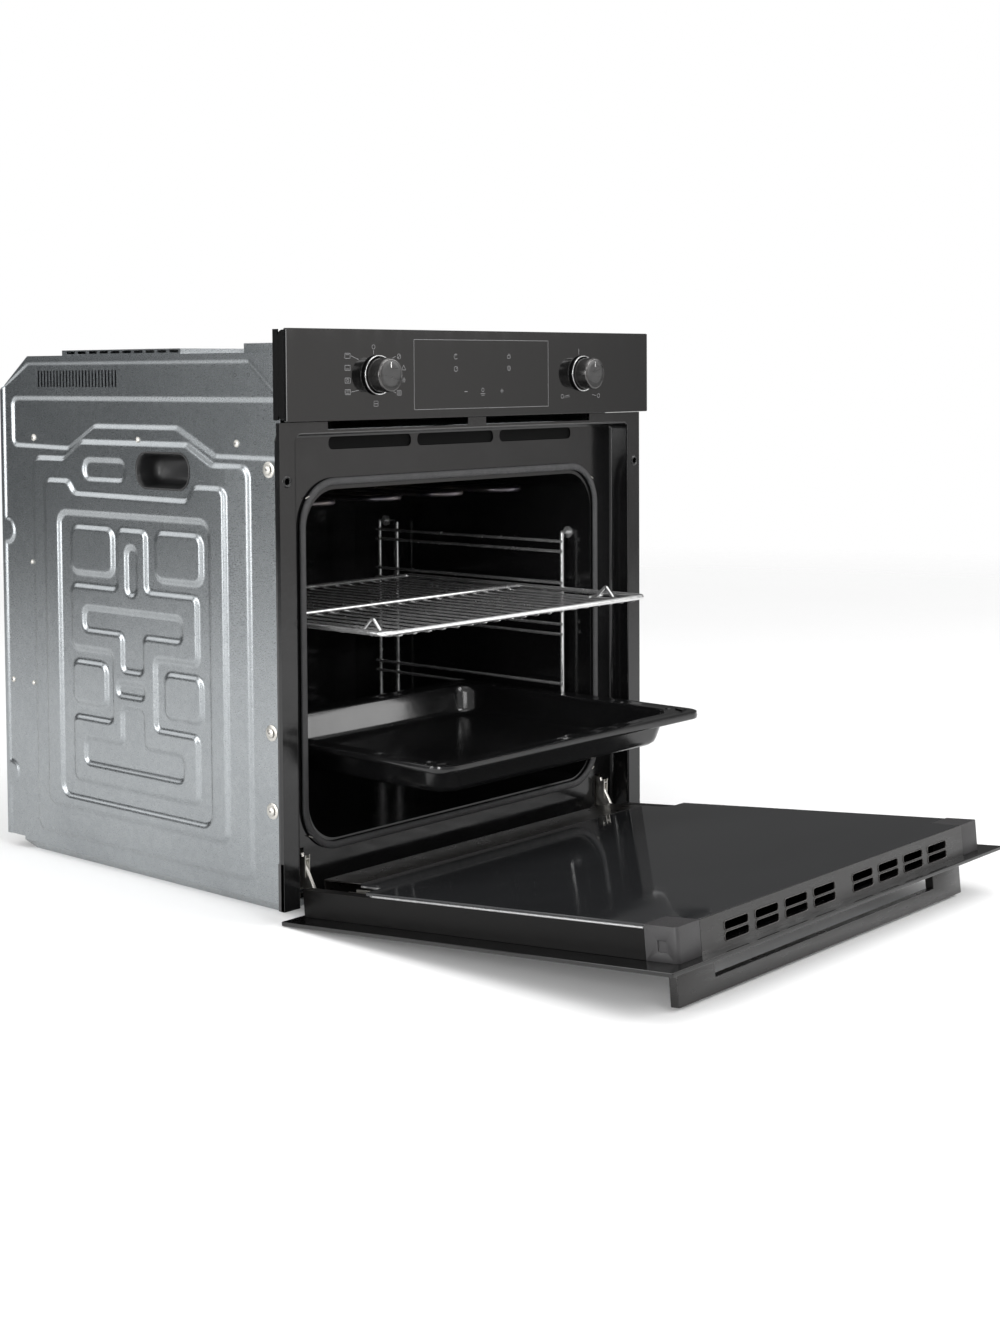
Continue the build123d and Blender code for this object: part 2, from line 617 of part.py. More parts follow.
def fan_motor():
    """Fan motor behind the rear cavity wall, with the bore for the fan shaft."""
    motor = rod((0, 492, FAN_Z), (0, 524, FAN_Z), 30)
    motor += block(-44, 44, 491, 494, FAN_Z - 12, FAN_Z + 12)
    return motor - rod((0, 480, FAN_Z), (0, 507, FAN_Z), FAN_SHAFT_R + RUN_FIT)


def cooling_duct():
    """Flat air duct from the blower to the outlet above the door."""
    duct = hollow_box((-232, RECESS_Y + SHEET + 0.2, 489.4), (232, BLOWER_Y - 42, 506), 1.0, 2)
    duct -= block(-BLOWER_HALF, BLOWER_HALF, 300, 345, 491, 505)
    return duct


def blower_housing():
    """Blower casing: two end plates, floor, back wall and curved top."""
    x = BLOWER_HALF + 4
    y0 = BLOWER_Y - 41.5
    y1 = BLOWER_Y + 41
    shell = hollow_box((-x, y0, 489.4), (x, y1, 563), 1.2, 2)
    shell -= block(-x + 8, x - 8, BLOWER_Y - 30, BLOWER_Y + 30, 555, 570)
    return shell - rod((-x - 1, BLOWER_Y, BLOWER_Z), (x + 1, BLOWER_Y, BLOWER_Z), BLOWER_SHAFT_R + RUN_FIT)


def blower_rotor():
    """Cross-flow rotor on its shaft: three discs and a ring of blades."""
    start = (-BLOWER_HALF - 8, BLOWER_Y, BLOWER_Z)
    finish = (BLOWER_HALF + 30, BLOWER_Y, BLOWER_Z)
    parts = [rod(start, finish, BLOWER_SHAFT_R)]
    for x in (-BLOWER_HALF + 4, 0, BLOWER_HALF - 6):
        parts.append(rod((x, BLOWER_Y, BLOWER_Z), (x + 1.6, BLOWER_Y, BLOWER_Z), 29))
    for i in range(20):
        blade = block(-BLOWER_HALF + 4, BLOWER_HALF - 4.4, 22, 28.6, -0.5, 0.5)
        parts.append(Pos(0, BLOWER_Y, BLOWER_Z) * Rot(18 * i, 0, 0) * blade)
    return joined(parts)


def blower_motor():
    """Blower motor beside its casing, with the bore for the rotor shaft."""
    x = BLOWER_HALF + 4
    motor = rod((x + 2, BLOWER_Y, BLOWER_Z), (x + 44, BLOWER_Y, BLOWER_Z), 27)
    motor += block(x, x + 3, BLOWER_Y - 34, BLOWER_Y + 34, BLOWER_Z - 10, BLOWER_Z + 10)
    return motor - rod((x - 1, BLOWER_Y, BLOWER_Z), (x + 27, BLOWER_Y, BLOWER_Z), BLOWER_SHAFT_R + RUN_FIT)


def lamp_housing():
    """Lamp holder with its bulb."""
    y = CAVITY_BACK + SHEET
    cup = rod((LAMP_X, y, LAMP_Z), (LAMP_X, y + 36, LAMP_Z), 26) - rod(
        (LAMP_X, y - 1, LAMP_Z), (LAMP_X, y + 34, LAMP_Z), 23.5)
    return cup + rod((LAMP_X, y + 16, LAMP_Z), (LAMP_X, y + 34.5, LAMP_Z), 9) + rod(
        (LAMP_X, y + 2, LAMP_Z), (LAMP_X, y + 17, LAMP_Z), 6)


def lamp_glass():
    """Screw-in glass cover of the lamp."""
    y = CAVITY_BACK
    flange = rod((LAMP_X, y - 6, LAMP_Z), (LAMP_X, y, LAMP_Z), 27)
    dome = fillet(flange.edges().sort_by(Axis.Y)[0], 4)
    neck = rod((LAMP_X, y - 1, LAMP_Z), (LAMP_X, y + 6, LAMP_Z), 23)
    return dome + neck - rod((LAMP_X, y - 4, LAMP_Z), (LAMP_X, y + 7, LAMP_Z), 21)


def temperature_probe():
    """Thermostat probe through the rear wall."""
    return rod((PROBE_X, 385, PROBE_Z), (PROBE_X, 474, PROBE_Z), 2.8)


# ---- hinges ----


def hinge_receiver():
    """Right-hand pocket behind the recess floor that takes the hinge arm."""
    y0 = RECESS_Y + SHEET + 0.1
    return hollow_box((HINGE_X - 8, y0, 10), (HINGE_X + 8, y0 + 46, 57), SHEET, 2)


def hinge_arm():
    """Right-hand hinge arm: eye round the pin, bar, and blade in the receiver."""
    x0 = HINGE_X - HINGE_T / 2
    x1 = HINGE_X + HINGE_T / 2
    back = RECESS_Y + SHEET
    outline = ((PIVOT_Y - 3, PIVOT_Z + 5.5), (PIVOT_Y + 6, PIVOT_Z - 1.5), (36, 16), (back + 3, 14),
               (back + 36, 14), (back + 36, 50), (back - 6, 50), (34, 42))
    arm = profile_x(outline, x0, x1) + rod((x0, PIVOT_Y, PIVOT_Z), (x1, PIVOT_Y, PIVOT_Z), 7)
    arm -= rod((x0 - 1, CLIP_Y, CLIP_Z), (x1 + 1, CLIP_Y, CLIP_Z), CLIP_PIN_R + RUN_FIT)
    return arm - rod((x0 - 1, PIVOT_Y, PIVOT_Z), (x1 + 1, PIVOT_Y, PIVOT_Z), PIN_R + RUN_FIT)


def hinge_clip(x):
    """U-shaped catch that locks a hinge arm for taking the door off, in its unlocked place."""
    inner = HINGE_T / 2 + 0.35
    outer = inner + 1.2
    parts = [rod((x - outer, CLIP_Y, CLIP_Z), (x + outer, CLIP_Y, CLIP_Z), CLIP_PIN_R)]
    for x0, x1 in ((x - outer, x - inner), (x + inner, x + outer)):
        outline = ((CLIP_Y - 3, CLIP_Z - 3), (CLIP_Y + 3, CLIP_Z - 3), (CLIP_Y + 3.2, CLIP_Z + 17),
                   (CLIP_Y - 3.4, CLIP_Z + 20))
        parts.append(profile_x(outline, x0, x1))
    parts.append(block(x - outer, x + outer, CLIP_Y - 3.2, CLIP_Y + 1.6, CLIP_Z + 15.2, CLIP_Z + 16.8))
    return joined(parts)


def hinge_channel():
    """Right-hand steel channel in the door that holds the hinge pin and its balance spring."""
    x0 = HINGE_X - 6.5
    x1 = HINGE_X + 6.5
    channel = block(x0, x1, 8, 31, 1.5, 210) - block(x0 + 1.5, x1 - 1.5, 9.5, 40, 0, 220)
    channel -= block(x0 - 1, x1 + 1, 25, 40, 0, 60)
    pin = rod((x0, PIVOT_Y, PIVOT_Z), (x1, PIVOT_Y, PIVOT_Z), PIN_R)
    return channel + pin


def hinge_spring():
    """Right-hand balance spring, shown by its outer shape, and its hook."""
    spring = rod((HINGE_X, 20, 80), (HINGE_X, 20, 180), 4.2)
    spring += rod((HINGE_X, 20, 62), (HINGE_X, 20, 82), 1.4)
    return spring + rod((HINGE_X, 20, 178), (HINGE_X, 20, 200), 1.4) + rod(
        (HINGE_X - 5, 20, 200), (HINGE_X + 5, 20, 200), 1.6)


# ---- door, modelled closed ----


def outer_glass():
    """Full-width outer door glass."""
    size = (FRONT_W, DOOR_TOP - DOOR_BOTTOM)
    return slab("y", (0, (DOOR_TOP + DOOR_BOTTOM) / 2), size, 0, GLASS_T, 1.5)


def inner_glass():
    """Inner door glass, notched at the hinges and round the corner caps."""
    top = DOOR_BOX_TOP - 2.2
    glass = slab("y", (0, (60 + top) / 2), (537, top - 60), DOOR_IN_Y - 4, DOOR_IN_Y, 1.5)
    for side in (-1, 1):
        glass -= slab("y", (side * 268.5, 60), (60, 2 * (NOTCH_TOP - 60)), 20, 50, 12)
        x0, x1 = sorted((side * (RAIL_HALF_W - 0.2), side * 290))
        glass -= block(x0, x1, 20, 50, DOOR_BOX_TOP - CAP_H - 0.3, 500)
    return glass


def middle_glass():
    """Heat-shield glass inside the door."""
    return slab("y", (0, 255), (470, 360), 19, 22.2, 1.5)


def side_channel():
    """Right-hand black side channel of the door."""
    x1 = DOOR_BOX_HALF_W
    top = DOOR_BOX_TOP - CAP_H - 0.2
    channel = block(x1 - 12, x1, GLASS_T, DOOR_IN_Y - 4.2, 8, top)
    channel -= block(x1 - 20, x1 - 1.5, GLASS_T + 1.5, DOOR_IN_Y - 5.7, 0, 500)
    return channel


def top_rail():
    """Top rail with two rows of eight cooling slots."""
    outer = block(-RAIL_HALF_W, RAIL_HALF_W, GLASS_T, DOOR_IN_Y, 468, DOOR_BOX_TOP)
    inner = block(-300, 300, GLASS_T + 1.5, DOOR_IN_Y + 5, 460, DOOR_BOX_TOP - 1.6)
    rail = outer - inner
    rail += block(-RAIL_HALF_W, RAIL_HALF_W, DOOR_IN_Y - 5.4, DOOR_IN_Y - 4.2, 468, DOOR_BOX_TOP - 1)
    slots = []
    for side in (-1, 1):
        for i in range(4):
            for y in (13.0, 22.8):
                centre = (side * (35 + 49 * i), y)
                slots.append(slab("z", centre, (38, 8), DOOR_BOX_TOP - 4, DOOR_BOX_TOP + 4, 2.5))
    return rail - joined(slots)


def bottom_rail():
    """Bottom rail between the hinges."""
    outer = block(-238, 238, GLASS_T, DOOR_IN_Y, 5, 59.6)
    outer -= block(-300, 300, GLASS_T + 1.5, DOOR_IN_Y - 1.5, 6.5, 70)
    return outer


def corner_cap():
    """Right-hand moulded corner cap with the small recess on its side."""
    x1 = DOOR_BOX_HALF_W
    cap = block(x1 - CAP_W, x1, GLASS_T, DOOR_IN_Y + 0.2, DOOR_BOX_TOP - CAP_H, DOOR_BOX_TOP)
    corner = cap.edges().filter_by(Axis.Y).sort_by(Axis.X)[-2:].sort_by(Axis.Z)[-1]
    cap = fillet(corner, 4)
    cap -= block(x1 - CAP_W + 2.5, x1 - 2.5, GLASS_T - 1, DOOR_IN_Y - 2.5, DOOR_BOX_TOP - CAP_H - 1,
                 DOOR_BOX_TOP - 2.5)
    return cap - slab("x", (18, DOOR_BOX_TOP - 17), (10, 10), x1 - 1.2, x1 + 1, 1)


def door_handle():
    """Flat bar handle on two wide posts."""
    body = block(-HANDLE_HALF_L, HANDLE_HALF_L, -HANDLE_DEPTH, 0, HANDLE_LOW, HANDLE_HIGH)
    edges = body.edges().filter_by(Axis.X).group_by(Axis.Y)[0]
    body = fillet(edges, 0.8)
    return body - block(-POST_IN, POST_IN, -HANDLE_DEPTH + BAR_DEPTH, 10, HANDLE_LOW - 5, HANDLE_HIGH + 5)


# ---- assembly ----
TO_ORIGIN = Location((0, -ORIGIN_Y, PAN_DROP))
HINGE_LINE = Axis((0, PIVOT_Y, PIVOT_Z), (1, 0, 0))


def save(name, shape, on_door=False):
    """Write one sub-part in the part frame; door parts are swung open about the hinge line."""
    if on_door:
        shape = shape.rotate(HINGE_LINE, DOOR_OPEN)
    solids = [solid.moved(TO_ORIGIN) for solid in shape.solids()]
    placed = solids[0] if len(solids) == 1 else Compound(solids)
    placed.label = name
    export_step(placed, f"parts/{name}.step")


def main():
    os.makedirs("parts", exist_ok=True)
    panel = side_panel()
    rack_right = rack()
    body = {
        "bottom_pan": base_pan(),
        "right_side_panel": panel,
        "left_side_panel": mirror(panel, about=Plane.YZ),
        "rear_panel": rear_sheet(),
        "top_cover": top_sheet(),
        "vent_hood": vent_hood(),
        "duct_plate": duct_plate(),
        "grip_cups": mirrored(grip_cup()),
        "body_screws": mirrored(joined([pan_head(y, z) for y, z in SCREW_HOLES])),
        "terminal_box": terminal_box(),
        "cable_gland": cable_gland(),
        "front_frame": front_frame(),
        "front_crossmember": crossmember(),
        "fascia_glass": fascia_glass(),
        "fascia_chassis": fascia_chassis(),
        "display_module": display_module(),
        "knob_bezels": mirrored(knob_bezel()),
        "function_switch": switch(-KNOB_X),
        "temperature_switch": switch(KNOB_X),
        "function_shaft": shaft(-KNOB_X),
        "temperature_shaft": shaft(KNOB_X),
        "function_knob": knob(-KNOB_X),
        "temperature_knob": knob(KNOB_X),
        "left_liner": block(-CAVITY_HALF_W - SHEET, -CAVITY_HALF_W, RECESS_Y + SHEET, CAVITY_BACK + SHEET,
                            CAVITY_BOTTOM - SHEET, CAVITY_TOP + SHEET),
        "right_liner": block(CAVITY_HALF_W, CAVITY_HALF_W + SHEET, RECESS_Y + SHEET, CAVITY_BACK + SHEET,
                             CAVITY_BOTTOM - SHEET, CAVITY_TOP + SHEET),
        "floor_liner": block(-CAVITY_HALF_W, CAVITY_HALF_W, RECESS_Y + SHEET, CAVITY_BACK + SHEET,
                             CAVITY_BOTTOM - SHEET, CAVITY_BOTTOM),
        "ceiling_liner": block(-CAVITY_HALF_W, CAVITY_HALF_W, RECESS_Y + SHEET, CAVITY_BACK + SHEET,
                               CAVITY_TOP, CAVITY_TOP + SHEET),
        "back_liner": back_liner(),
        "insulation": insulation(),
        "fan_cover": fan_cover(),
        "ring_element": ring_element(),
        "grill_element": grill_element(),
        "bottom_element": bottom_element(),
        "right_rack": rack_right,
        "left_rack": mirror(rack_right, about=Plane.YZ),
        "wire_shelf": wire_shelf(),
        "baking_tray": baking_tray(),
        "door_gasket": gasket(),
        "convection_fan": convection_fan(),
        "fan_motor": fan_motor(),
        "cooling_duct": cooling_duct(),
        "blower_housing": blower_housing(),
        "blower_rotor": blower_rotor(),
        "blower_motor": blower_motor(),
        "lamp_housing": lamp_housing(),
        "lamp_glass": lamp_glass(),
        "temperature_probe": temperature_probe(),
        "hinge_receivers": mirrored(hinge_receiver()),
        "hinge_arms": mirrored(hinge_arm()),
        "left_hinge_clip": hinge_clip(-HINGE_X),
        "right_hinge_clip": hinge_clip(HINGE_X),
    }
    door = {
        "door_outer_glass": outer_glass(),
        "door_inner_glass": inner_glass(),
        "door_middle_glass": middle_glass(),
        "door_side_channels": mirrored(side_channel()),
        "door_top_rail": top_rail(),
        "door_bottom_rail": bottom_rail(),
        "door_corner_caps": mirrored(corner_cap()),
        "door_handle": door_handle(),
        "hinge_channels": mirrored(hinge_channel() + hinge_spring()),
    }
    for name, shape in body.items():
        save(name, shape)
    for name, shape in door.items():
        save(name, shape, on_door=True)


main()
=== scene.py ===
import json
import math
from math import cos, pi, radians, sin

import bmesh
import bpy
import numpy as np
from mathutils import Matrix, Vector

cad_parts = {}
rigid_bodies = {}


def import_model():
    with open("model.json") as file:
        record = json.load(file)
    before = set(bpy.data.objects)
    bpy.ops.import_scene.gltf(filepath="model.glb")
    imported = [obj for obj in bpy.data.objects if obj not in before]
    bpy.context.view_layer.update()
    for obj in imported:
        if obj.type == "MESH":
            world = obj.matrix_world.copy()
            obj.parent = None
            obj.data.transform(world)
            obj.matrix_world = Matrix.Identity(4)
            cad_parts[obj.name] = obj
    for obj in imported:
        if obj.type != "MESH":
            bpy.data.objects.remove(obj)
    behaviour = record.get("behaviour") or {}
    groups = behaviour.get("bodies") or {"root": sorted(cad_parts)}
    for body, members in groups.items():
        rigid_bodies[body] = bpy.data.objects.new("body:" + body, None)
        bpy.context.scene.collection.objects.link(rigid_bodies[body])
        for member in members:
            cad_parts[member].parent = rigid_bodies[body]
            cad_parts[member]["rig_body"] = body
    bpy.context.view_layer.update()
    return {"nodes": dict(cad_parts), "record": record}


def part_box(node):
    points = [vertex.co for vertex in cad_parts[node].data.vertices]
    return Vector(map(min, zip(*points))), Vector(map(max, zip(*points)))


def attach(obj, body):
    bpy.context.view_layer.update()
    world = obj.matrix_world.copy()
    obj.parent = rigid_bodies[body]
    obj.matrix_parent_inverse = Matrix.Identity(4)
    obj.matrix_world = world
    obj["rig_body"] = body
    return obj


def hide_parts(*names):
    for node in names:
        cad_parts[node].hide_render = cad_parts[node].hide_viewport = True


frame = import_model()
nodes = frame["nodes"]

# Layout used below, in mm: X right, Y back from the fascia front, Z up from the lower edge of the front.
MM = 0.001
FASCIA_TOP = 594.8
FRONT = (0, -1, 0)
SIDES = (-1, 1)
OPEN_ENDS = (False, False)
SQUARE = ((-1, -1), (1, -1), (1, 1), (-1, 1))
glass_lo, glass_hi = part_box("fascia_glass")
Y0 = glass_lo.y
Z0 = glass_hi.z - FASCIA_TOP * MM


def put(x, y, z):
    """Layout millimetres to the row frame in metres."""
    return Vector((x * MM, Y0 + y * MM, Z0 + z * MM))


# ---------------------------------------------------------------- materials
def colour(c):
    return (c[0], c[1], c[2], 1.0)


def times(c, factor):
    """A colour made darker or lighter."""
    return tuple(v * factor for v in c)


def mixed(tree, factor, a, b):
    """A colour between two colours; each is a tuple or a socket."""
    made = tree.nodes.new("ShaderNodeMix")
    made.data_type = "RGBA"
    sockets = [s for s in made.inputs if s.type == "RGBA"]
    for socket, value in zip(sockets, (a, b)):
        if isinstance(value, tuple):
            socket.default_value = colour(value)
        else:
            tree.links.new(value, socket)
    if isinstance(factor, float):
        made.inputs[0].default_value = factor
    else:
        tree.links.new(factor, made.inputs[0])
    return [s for s in made.outputs if s.type == "RGBA"][0]


class Surface:
    """A Principled material with its node helpers."""

    def __init__(self, name, base, metallic=0.0, roughness=0.5, **sockets):
        self.mat = bpy.data.materials.new(name)
        self.mat.use_nodes = True
        self.tree = self.mat.node_tree
        self.bsdf = self.tree.nodes["Principled BSDF"]
        self.bsdf.inputs["Base Color"].default_value = colour(base)
        self.bsdf.inputs["Metallic"].default_value = metallic
        self.bsdf.inputs["Roughness"].default_value = roughness
        for socket, value in sockets.items():
            self.bsdf.inputs[socket.replace("_", " ")].default_value = value
        coords = self.tree.nodes.new("ShaderNodeTexCoord")
        self.coords = coords.outputs["Object"]
        self.normal = None
        self.mat.diffuse_color = colour(base)

    def node(self, kind, **inputs):
        made = self.tree.nodes.new(kind)
        for key, value in inputs.items():
            made.inputs[key.replace("_", " ")].default_value = value
        return made

    def link(self, a, b):
        self.tree.links.new(a, b)

    def noise(self, scale, detail=3.0, stretch=None, rough=0.5):
        made = self.node("ShaderNodeTexNoise", Scale=scale, Detail=detail, Roughness=rough)
        if stretch:
            mapping = self.node("ShaderNodeMapping", Scale=stretch)
            self.link(self.coords, mapping.inputs["Vector"])
            self.link(mapping.outputs["Vector"], made.inputs["Vector"])
        else:
            self.link(self.coords, made.inputs["Vector"])
        return made.outputs["Fac"]

    def cells(self, scale):
        made = self.node("ShaderNodeTexVoronoi", Scale=scale, Randomness=1.0)
        self.link(self.coords, made.inputs["Vector"])
        return made

    def ranged(self, value, low, high, out_low, out_high):
        made = self.node("ShaderNodeMapRange", From_Min=low, From_Max=high, To_Min=out_low, To_Max=out_high)
        self.link(value, made.inputs["Value"])
        return made.outputs["Result"]

    def tint(self, value, low, high, dark, light):
        """Base colour between two colours, following a value."""
        ramp = self.tree.nodes.new("ShaderNodeValToRGB")
        ramp.color_ramp.elements[0].position = low
        ramp.color_ramp.elements[1].position = high
        ramp.color_ramp.elements[0].color = colour(dark)
        ramp.color_ramp.elements[1].color = colour(light)
        self.link(value, ramp.inputs["Fac"])
        return ramp.outputs["Color"]

    def mix(self, factor, a, b):
        return mixed(self.tree, factor, a, b)

    def set(self, socket, value):
        self.link(value, self.bsdf.inputs[socket])

    def bump(self, height, distance, strength=1.0):
        made = self.node("ShaderNodeBump", Strength=strength, Distance=distance)
        self.link(height, made.inputs["Height"])
        if self.normal is not None:
            self.link(self.normal, made.inputs["Normal"])
        self.normal = made.outputs["Normal"]
        self.set("Normal", self.normal)


def galvanised():
    s = Surface("galvanised_steel", (0.34, 0.355, 0.365), 1.0, 0.42)
    spangle = s.cells(150)
    split = s.tree.nodes.new("ShaderNodeSeparateColor")
    s.link(spangle.outputs["Color"], split.inputs["Color"])
    soft = s.noise(9, 2)
    grain = s.noise(420, 3, (1, 1, 4))
    base = s.tint(soft, 0.3, 0.7, (0.29, 0.306, 0.316), (0.335, 0.352, 0.362))
    flake = s.tint(split.outputs["Red"], 0.0, 1.0, (0.28, 0.296, 0.308), (0.35, 0.367, 0.377))
    s.set("Base Color", s.mix(0.3, base, flake))
    s.set("Roughness", s.ranged(grain, 0.3, 0.7, 0.25, 0.31))
    s.bump(grain, 0.00001, 0.2)
    return s.mat


def enamel(name, base, rough):
    s = Surface(name, base, 0.0, rough, IOR=1.5)
    peel = s.noise(130, 2)
    fleck = s.cells(520)
    dots = s.tint(fleck.outputs["Distance"], 0.045, 0.075, (0.16, 0.16, 0.165), base)
    patch = s.noise(60, 2)
    wide = s.tint(patch, 0.55, 0.68, base, times(base, 1.4))
    s.set("Base Color", s.mix(s.ranged(patch, 0.4, 0.6, 0.15, 0.5), wide, dots))
    s.set("Roughness", s.ranged(s.noise(24, 3), 0.3, 0.7, rough * 0.8, rough * 1.35))
    s.bump(peel, 0.00012, 0.35)
    return s.mat


def printed_glass(name, base, rough):
    """Toughened glass with its print behind it: faint haze and wipe marks."""
    s = Surface(name, base, 0.0, rough, IOR=1.52)
    haze = s.noise(3.5, 4, (1, 2.2, 1))
    wipes = s.noise(14, 5, (6, 1, 1))
    s.set("Base Color", s.tint(haze, 0.35, 0.7, base, times(base, 1.25)))
    s.set("Roughness", s.ranged(wipes, 0.35, 0.7, rough * 0.8, rough * 1.7))
    s.bump(s.noise(2.2, 1), 0.0004, 0.12)
    return s.mat


def clear_glass():
    s = Surface("clear_glass", (0.86, 0.89, 0.9), 0.0, 0.03, IOR=1.5, Transmission_Weight=0.85)
    s.set("Roughness", s.ranged(s.noise(30, 3), 0.3, 0.7, 0.02, 0.07))
    return s.mat


def plastic(name, base, rough, **sockets):
    s = Surface(name, base, 0.0, rough, **sockets)
    sparkle = s.noise(1300, 2)
    cloudy = s.noise(22, 3)
    s.set("Base Color", s.tint(cloudy, 0.3, 0.7, times(base, 0.88), times(base, 1.14)))
    s.set("Roughness", s.ranged(sparkle, 0.35, 0.65, rough * 0.86, min(1.0, rough * 1.18)))
    s.bump(sparkle, 0.00003, 0.6)
    return s.mat


def painted(name, base, rough, metallic=0.0, coat=0.15, **sockets):
    """Powder-coated or stoved metal with a fine texture and slightly rubbed patches."""
    s = Surface(name, base, metallic, rough, Coat_Weight=coat, Coat_Roughness=0.25, **sockets)
    fine = s.noise(900, 2)
    streak = s.noise(40, 4, (1, 1, 6))
    s.set("Base Color", s.tint(streak, 0.3, 0.75, times(base, 0.85), times(base, 1.25)))
    s.set("Roughness", s.ranged(streak, 0.3, 0.7, rough * 0.8, rough * 1.25))
    s.bump(fine, 0.000025, 0.5)
    return s.mat


def metal(name, base, rough, stretch=(1, 1, 1), vary=0.12, metallic=1.0):
    s = Surface(name, base, metallic, rough)
    streak = s.noise(60, 4, stretch)
    fine = s.noise(700, 2, stretch)
    s.set("Base Color", s.tint(streak, 0.3, 0.7, times(base, 1 - vary), times(base, 1 + vary)))
    s.set("Roughness", s.ranged(streak, 0.3, 0.7, rough * 0.7, rough * 1.4))
    s.bump(fine, 0.000015, 0.4)
    return s.mat


def heat_tinted():
    s = Surface("heater_steel", (0.16, 0.155, 0.16), 1.0, 0.4)
    band = s.noise(14, 3)
    s.set("Base Color", s.mix(s.ranged(s.noise(60, 3), 0.4, 0.7, 0.0, 0.6),
                              s.tint(band, 0.35, 0.65, (0.10, 0.10, 0.115), (0.22, 0.19, 0.17)),
                              (0.14, 0.125, 0.15)))
    s.set("Roughness", s.ranged(band, 0.3, 0.7, 0.3, 0.52))
    s.bump(s.noise(500, 2), 0.00003, 0.5)
    return s.mat


def rubber():
    s = Surface("gasket_rubber", (0.05, 0.05, 0.052), 0.0, 0.6)
    weave = s.node("ShaderNodeTexWave", Scale=260, Distortion=1.5, Detail=1.0)
    weave.bands_direction = "DIAGONAL"
    s.link(s.coords, weave.inputs["Vector"])
    s.set("Base Color", s.tint(weave.outputs["Fac"], 0.2, 0.8, (0.018, 0.018, 0.019), (0.062, 0.062, 0.064)))
    s.set("Roughness", s.ranged(s.noise(200, 2), 0.3, 0.7, 0.5, 0.75))
    s.bump(weave.outputs["Fac"], 0.0002, 0.6)
    return s.mat


def wool():
    s = Surface("glass_wool", (0.62, 0.55, 0.33), 0.0, 0.95)
    fibre = s.noise(180, 6, (1, 5, 1), 0.7)
    s.set("Base Color", s.tint(fibre, 0.3, 0.7, (0.48, 0.41, 0.22), (0.74, 0.68, 0.46)))
    s.set("Roughness", s.ranged(fibre, 0.3, 0.7, 0.85, 1.0))
    s.bump(fibre, 0.0012, 0.8)
    return s.mat


def print_ink():
    s = Surface("fascia_print", (0.2, 0.2, 0.205), 0.0, 0.35)
    s.set("Base Color", s.tint(s.noise(900, 2), 0.3, 0.7, (0.17, 0.17, 0.175), (0.24, 0.24, 0.245)))
    s.set("Roughness", s.ranged(s.noise(300, 2), 0.3, 0.7, 0.3, 0.45))
    return s.mat


SURFACES = {
    "galvanised_steel": galvanised(),
    "black_enamel": enamel("black_enamel", (0.005, 0.005, 0.0052), 0.14),
    "black_glass": printed_glass("black_glass", (0.003, 0.003, 0.003), 0.04),
    "clear_glass": clear_glass(),
    "dark_glass": printed_glass("dark_glass", (0.016, 0.0165, 0.0175), 0.05),
    "black_plastic": plastic("black_plastic", (0.016, 0.016, 0.017), 0.5),
    "grey_plastic": plastic("grey_plastic", (0.03, 0.029, 0.03), 0.46),
    "black_metal": painted("black_metal", (0.005, 0.0042, 0.0038), 0.3),
    "knob_black": painted("knob_black", (0.085, 0.083, 0.082), 0.18, 0.85),
    "chrome": metal("chrome", (0.7, 0.7, 0.7), 0.2, vary=0.05, metallic=0.82),
    "zinc_steel": metal("zinc_steel", (0.56, 0.545, 0.51), 0.34),
    "heater_steel": heat_tinted(),
    "gasket_rubber": rubber(),
    "glass_wool": wool(),
    "aluminium": metal("aluminium", (0.42, 0.42, 0.42), 0.4, (1, 6, 1)),
    "circuit_plastic": plastic("circuit_plastic", (0.03, 0.036, 0.042), 0.45),
}

# Finishes of single pieces: each is a darker or shinier state of its slot's material; the slot-rim one is
# lighter, a painted highlight.
MATT_BLACK = plastic("matt_black", (0.002, 0.002, 0.002), 0.6, Specular_IOR_Level=0.08)
DARK_MOULDING = plastic("dark_moulding", (0.006, 0.006, 0.0065), 0.42)
CHANNEL_BLACK = painted("door_channel_black", (0.005, 0.0048, 0.0047), 0.4, coat=0.0, Specular_IOR_Level=0.12)
SLOT_RIM_HIGHLIGHT = painted("slot_rim_painted_highlight", (0.05, 0.047, 0.045), 0.22, 0.3)
SATIN_FACE = painted("knob_face_satin", (0.042, 0.042, 0.042), 0.3, 0.8)
DARK_CHROME = metal("dark_chrome", (0.42, 0.42, 0.42), 0.18, vary=0.06)
PRINT = print_ink()
SLOT_OF = {part["node"]: part["material_slot"] for part in frame["record"]["subparts"]}


# ---------------------------------------------------------------- mesh helpers
def dress(obj, body, slot, replaced=(), mat=None):
    """Material (from its slot unless one is given), body and hidden replaced nodes of a finished piece."""
    obj.data.materials.clear()
    obj.data.materials.append(mat or SURFACES[slot])
    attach(obj, body)
    if replaced:
        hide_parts(*replaced)


def new_object(name, mesh):
    obj = bpy.data.objects.new(name, mesh)
    bpy.context.scene.collection.objects.link(obj)
    return obj


def smooth(mesh, angle=35):
    """Smooth shading with sharp edges above an angle."""
    bm = bmesh.new()
    bm.from_mesh(mesh)
    for face in bm.faces:
        face.smooth = True
    limit = radians(angle)
    for edge in bm.edges:
        if len(edge.link_faces) == 2 and edge.calc_face_angle(0.0) > limit:
            edge.smooth = False
    bm.to_mesh(mesh)
    bm.free()


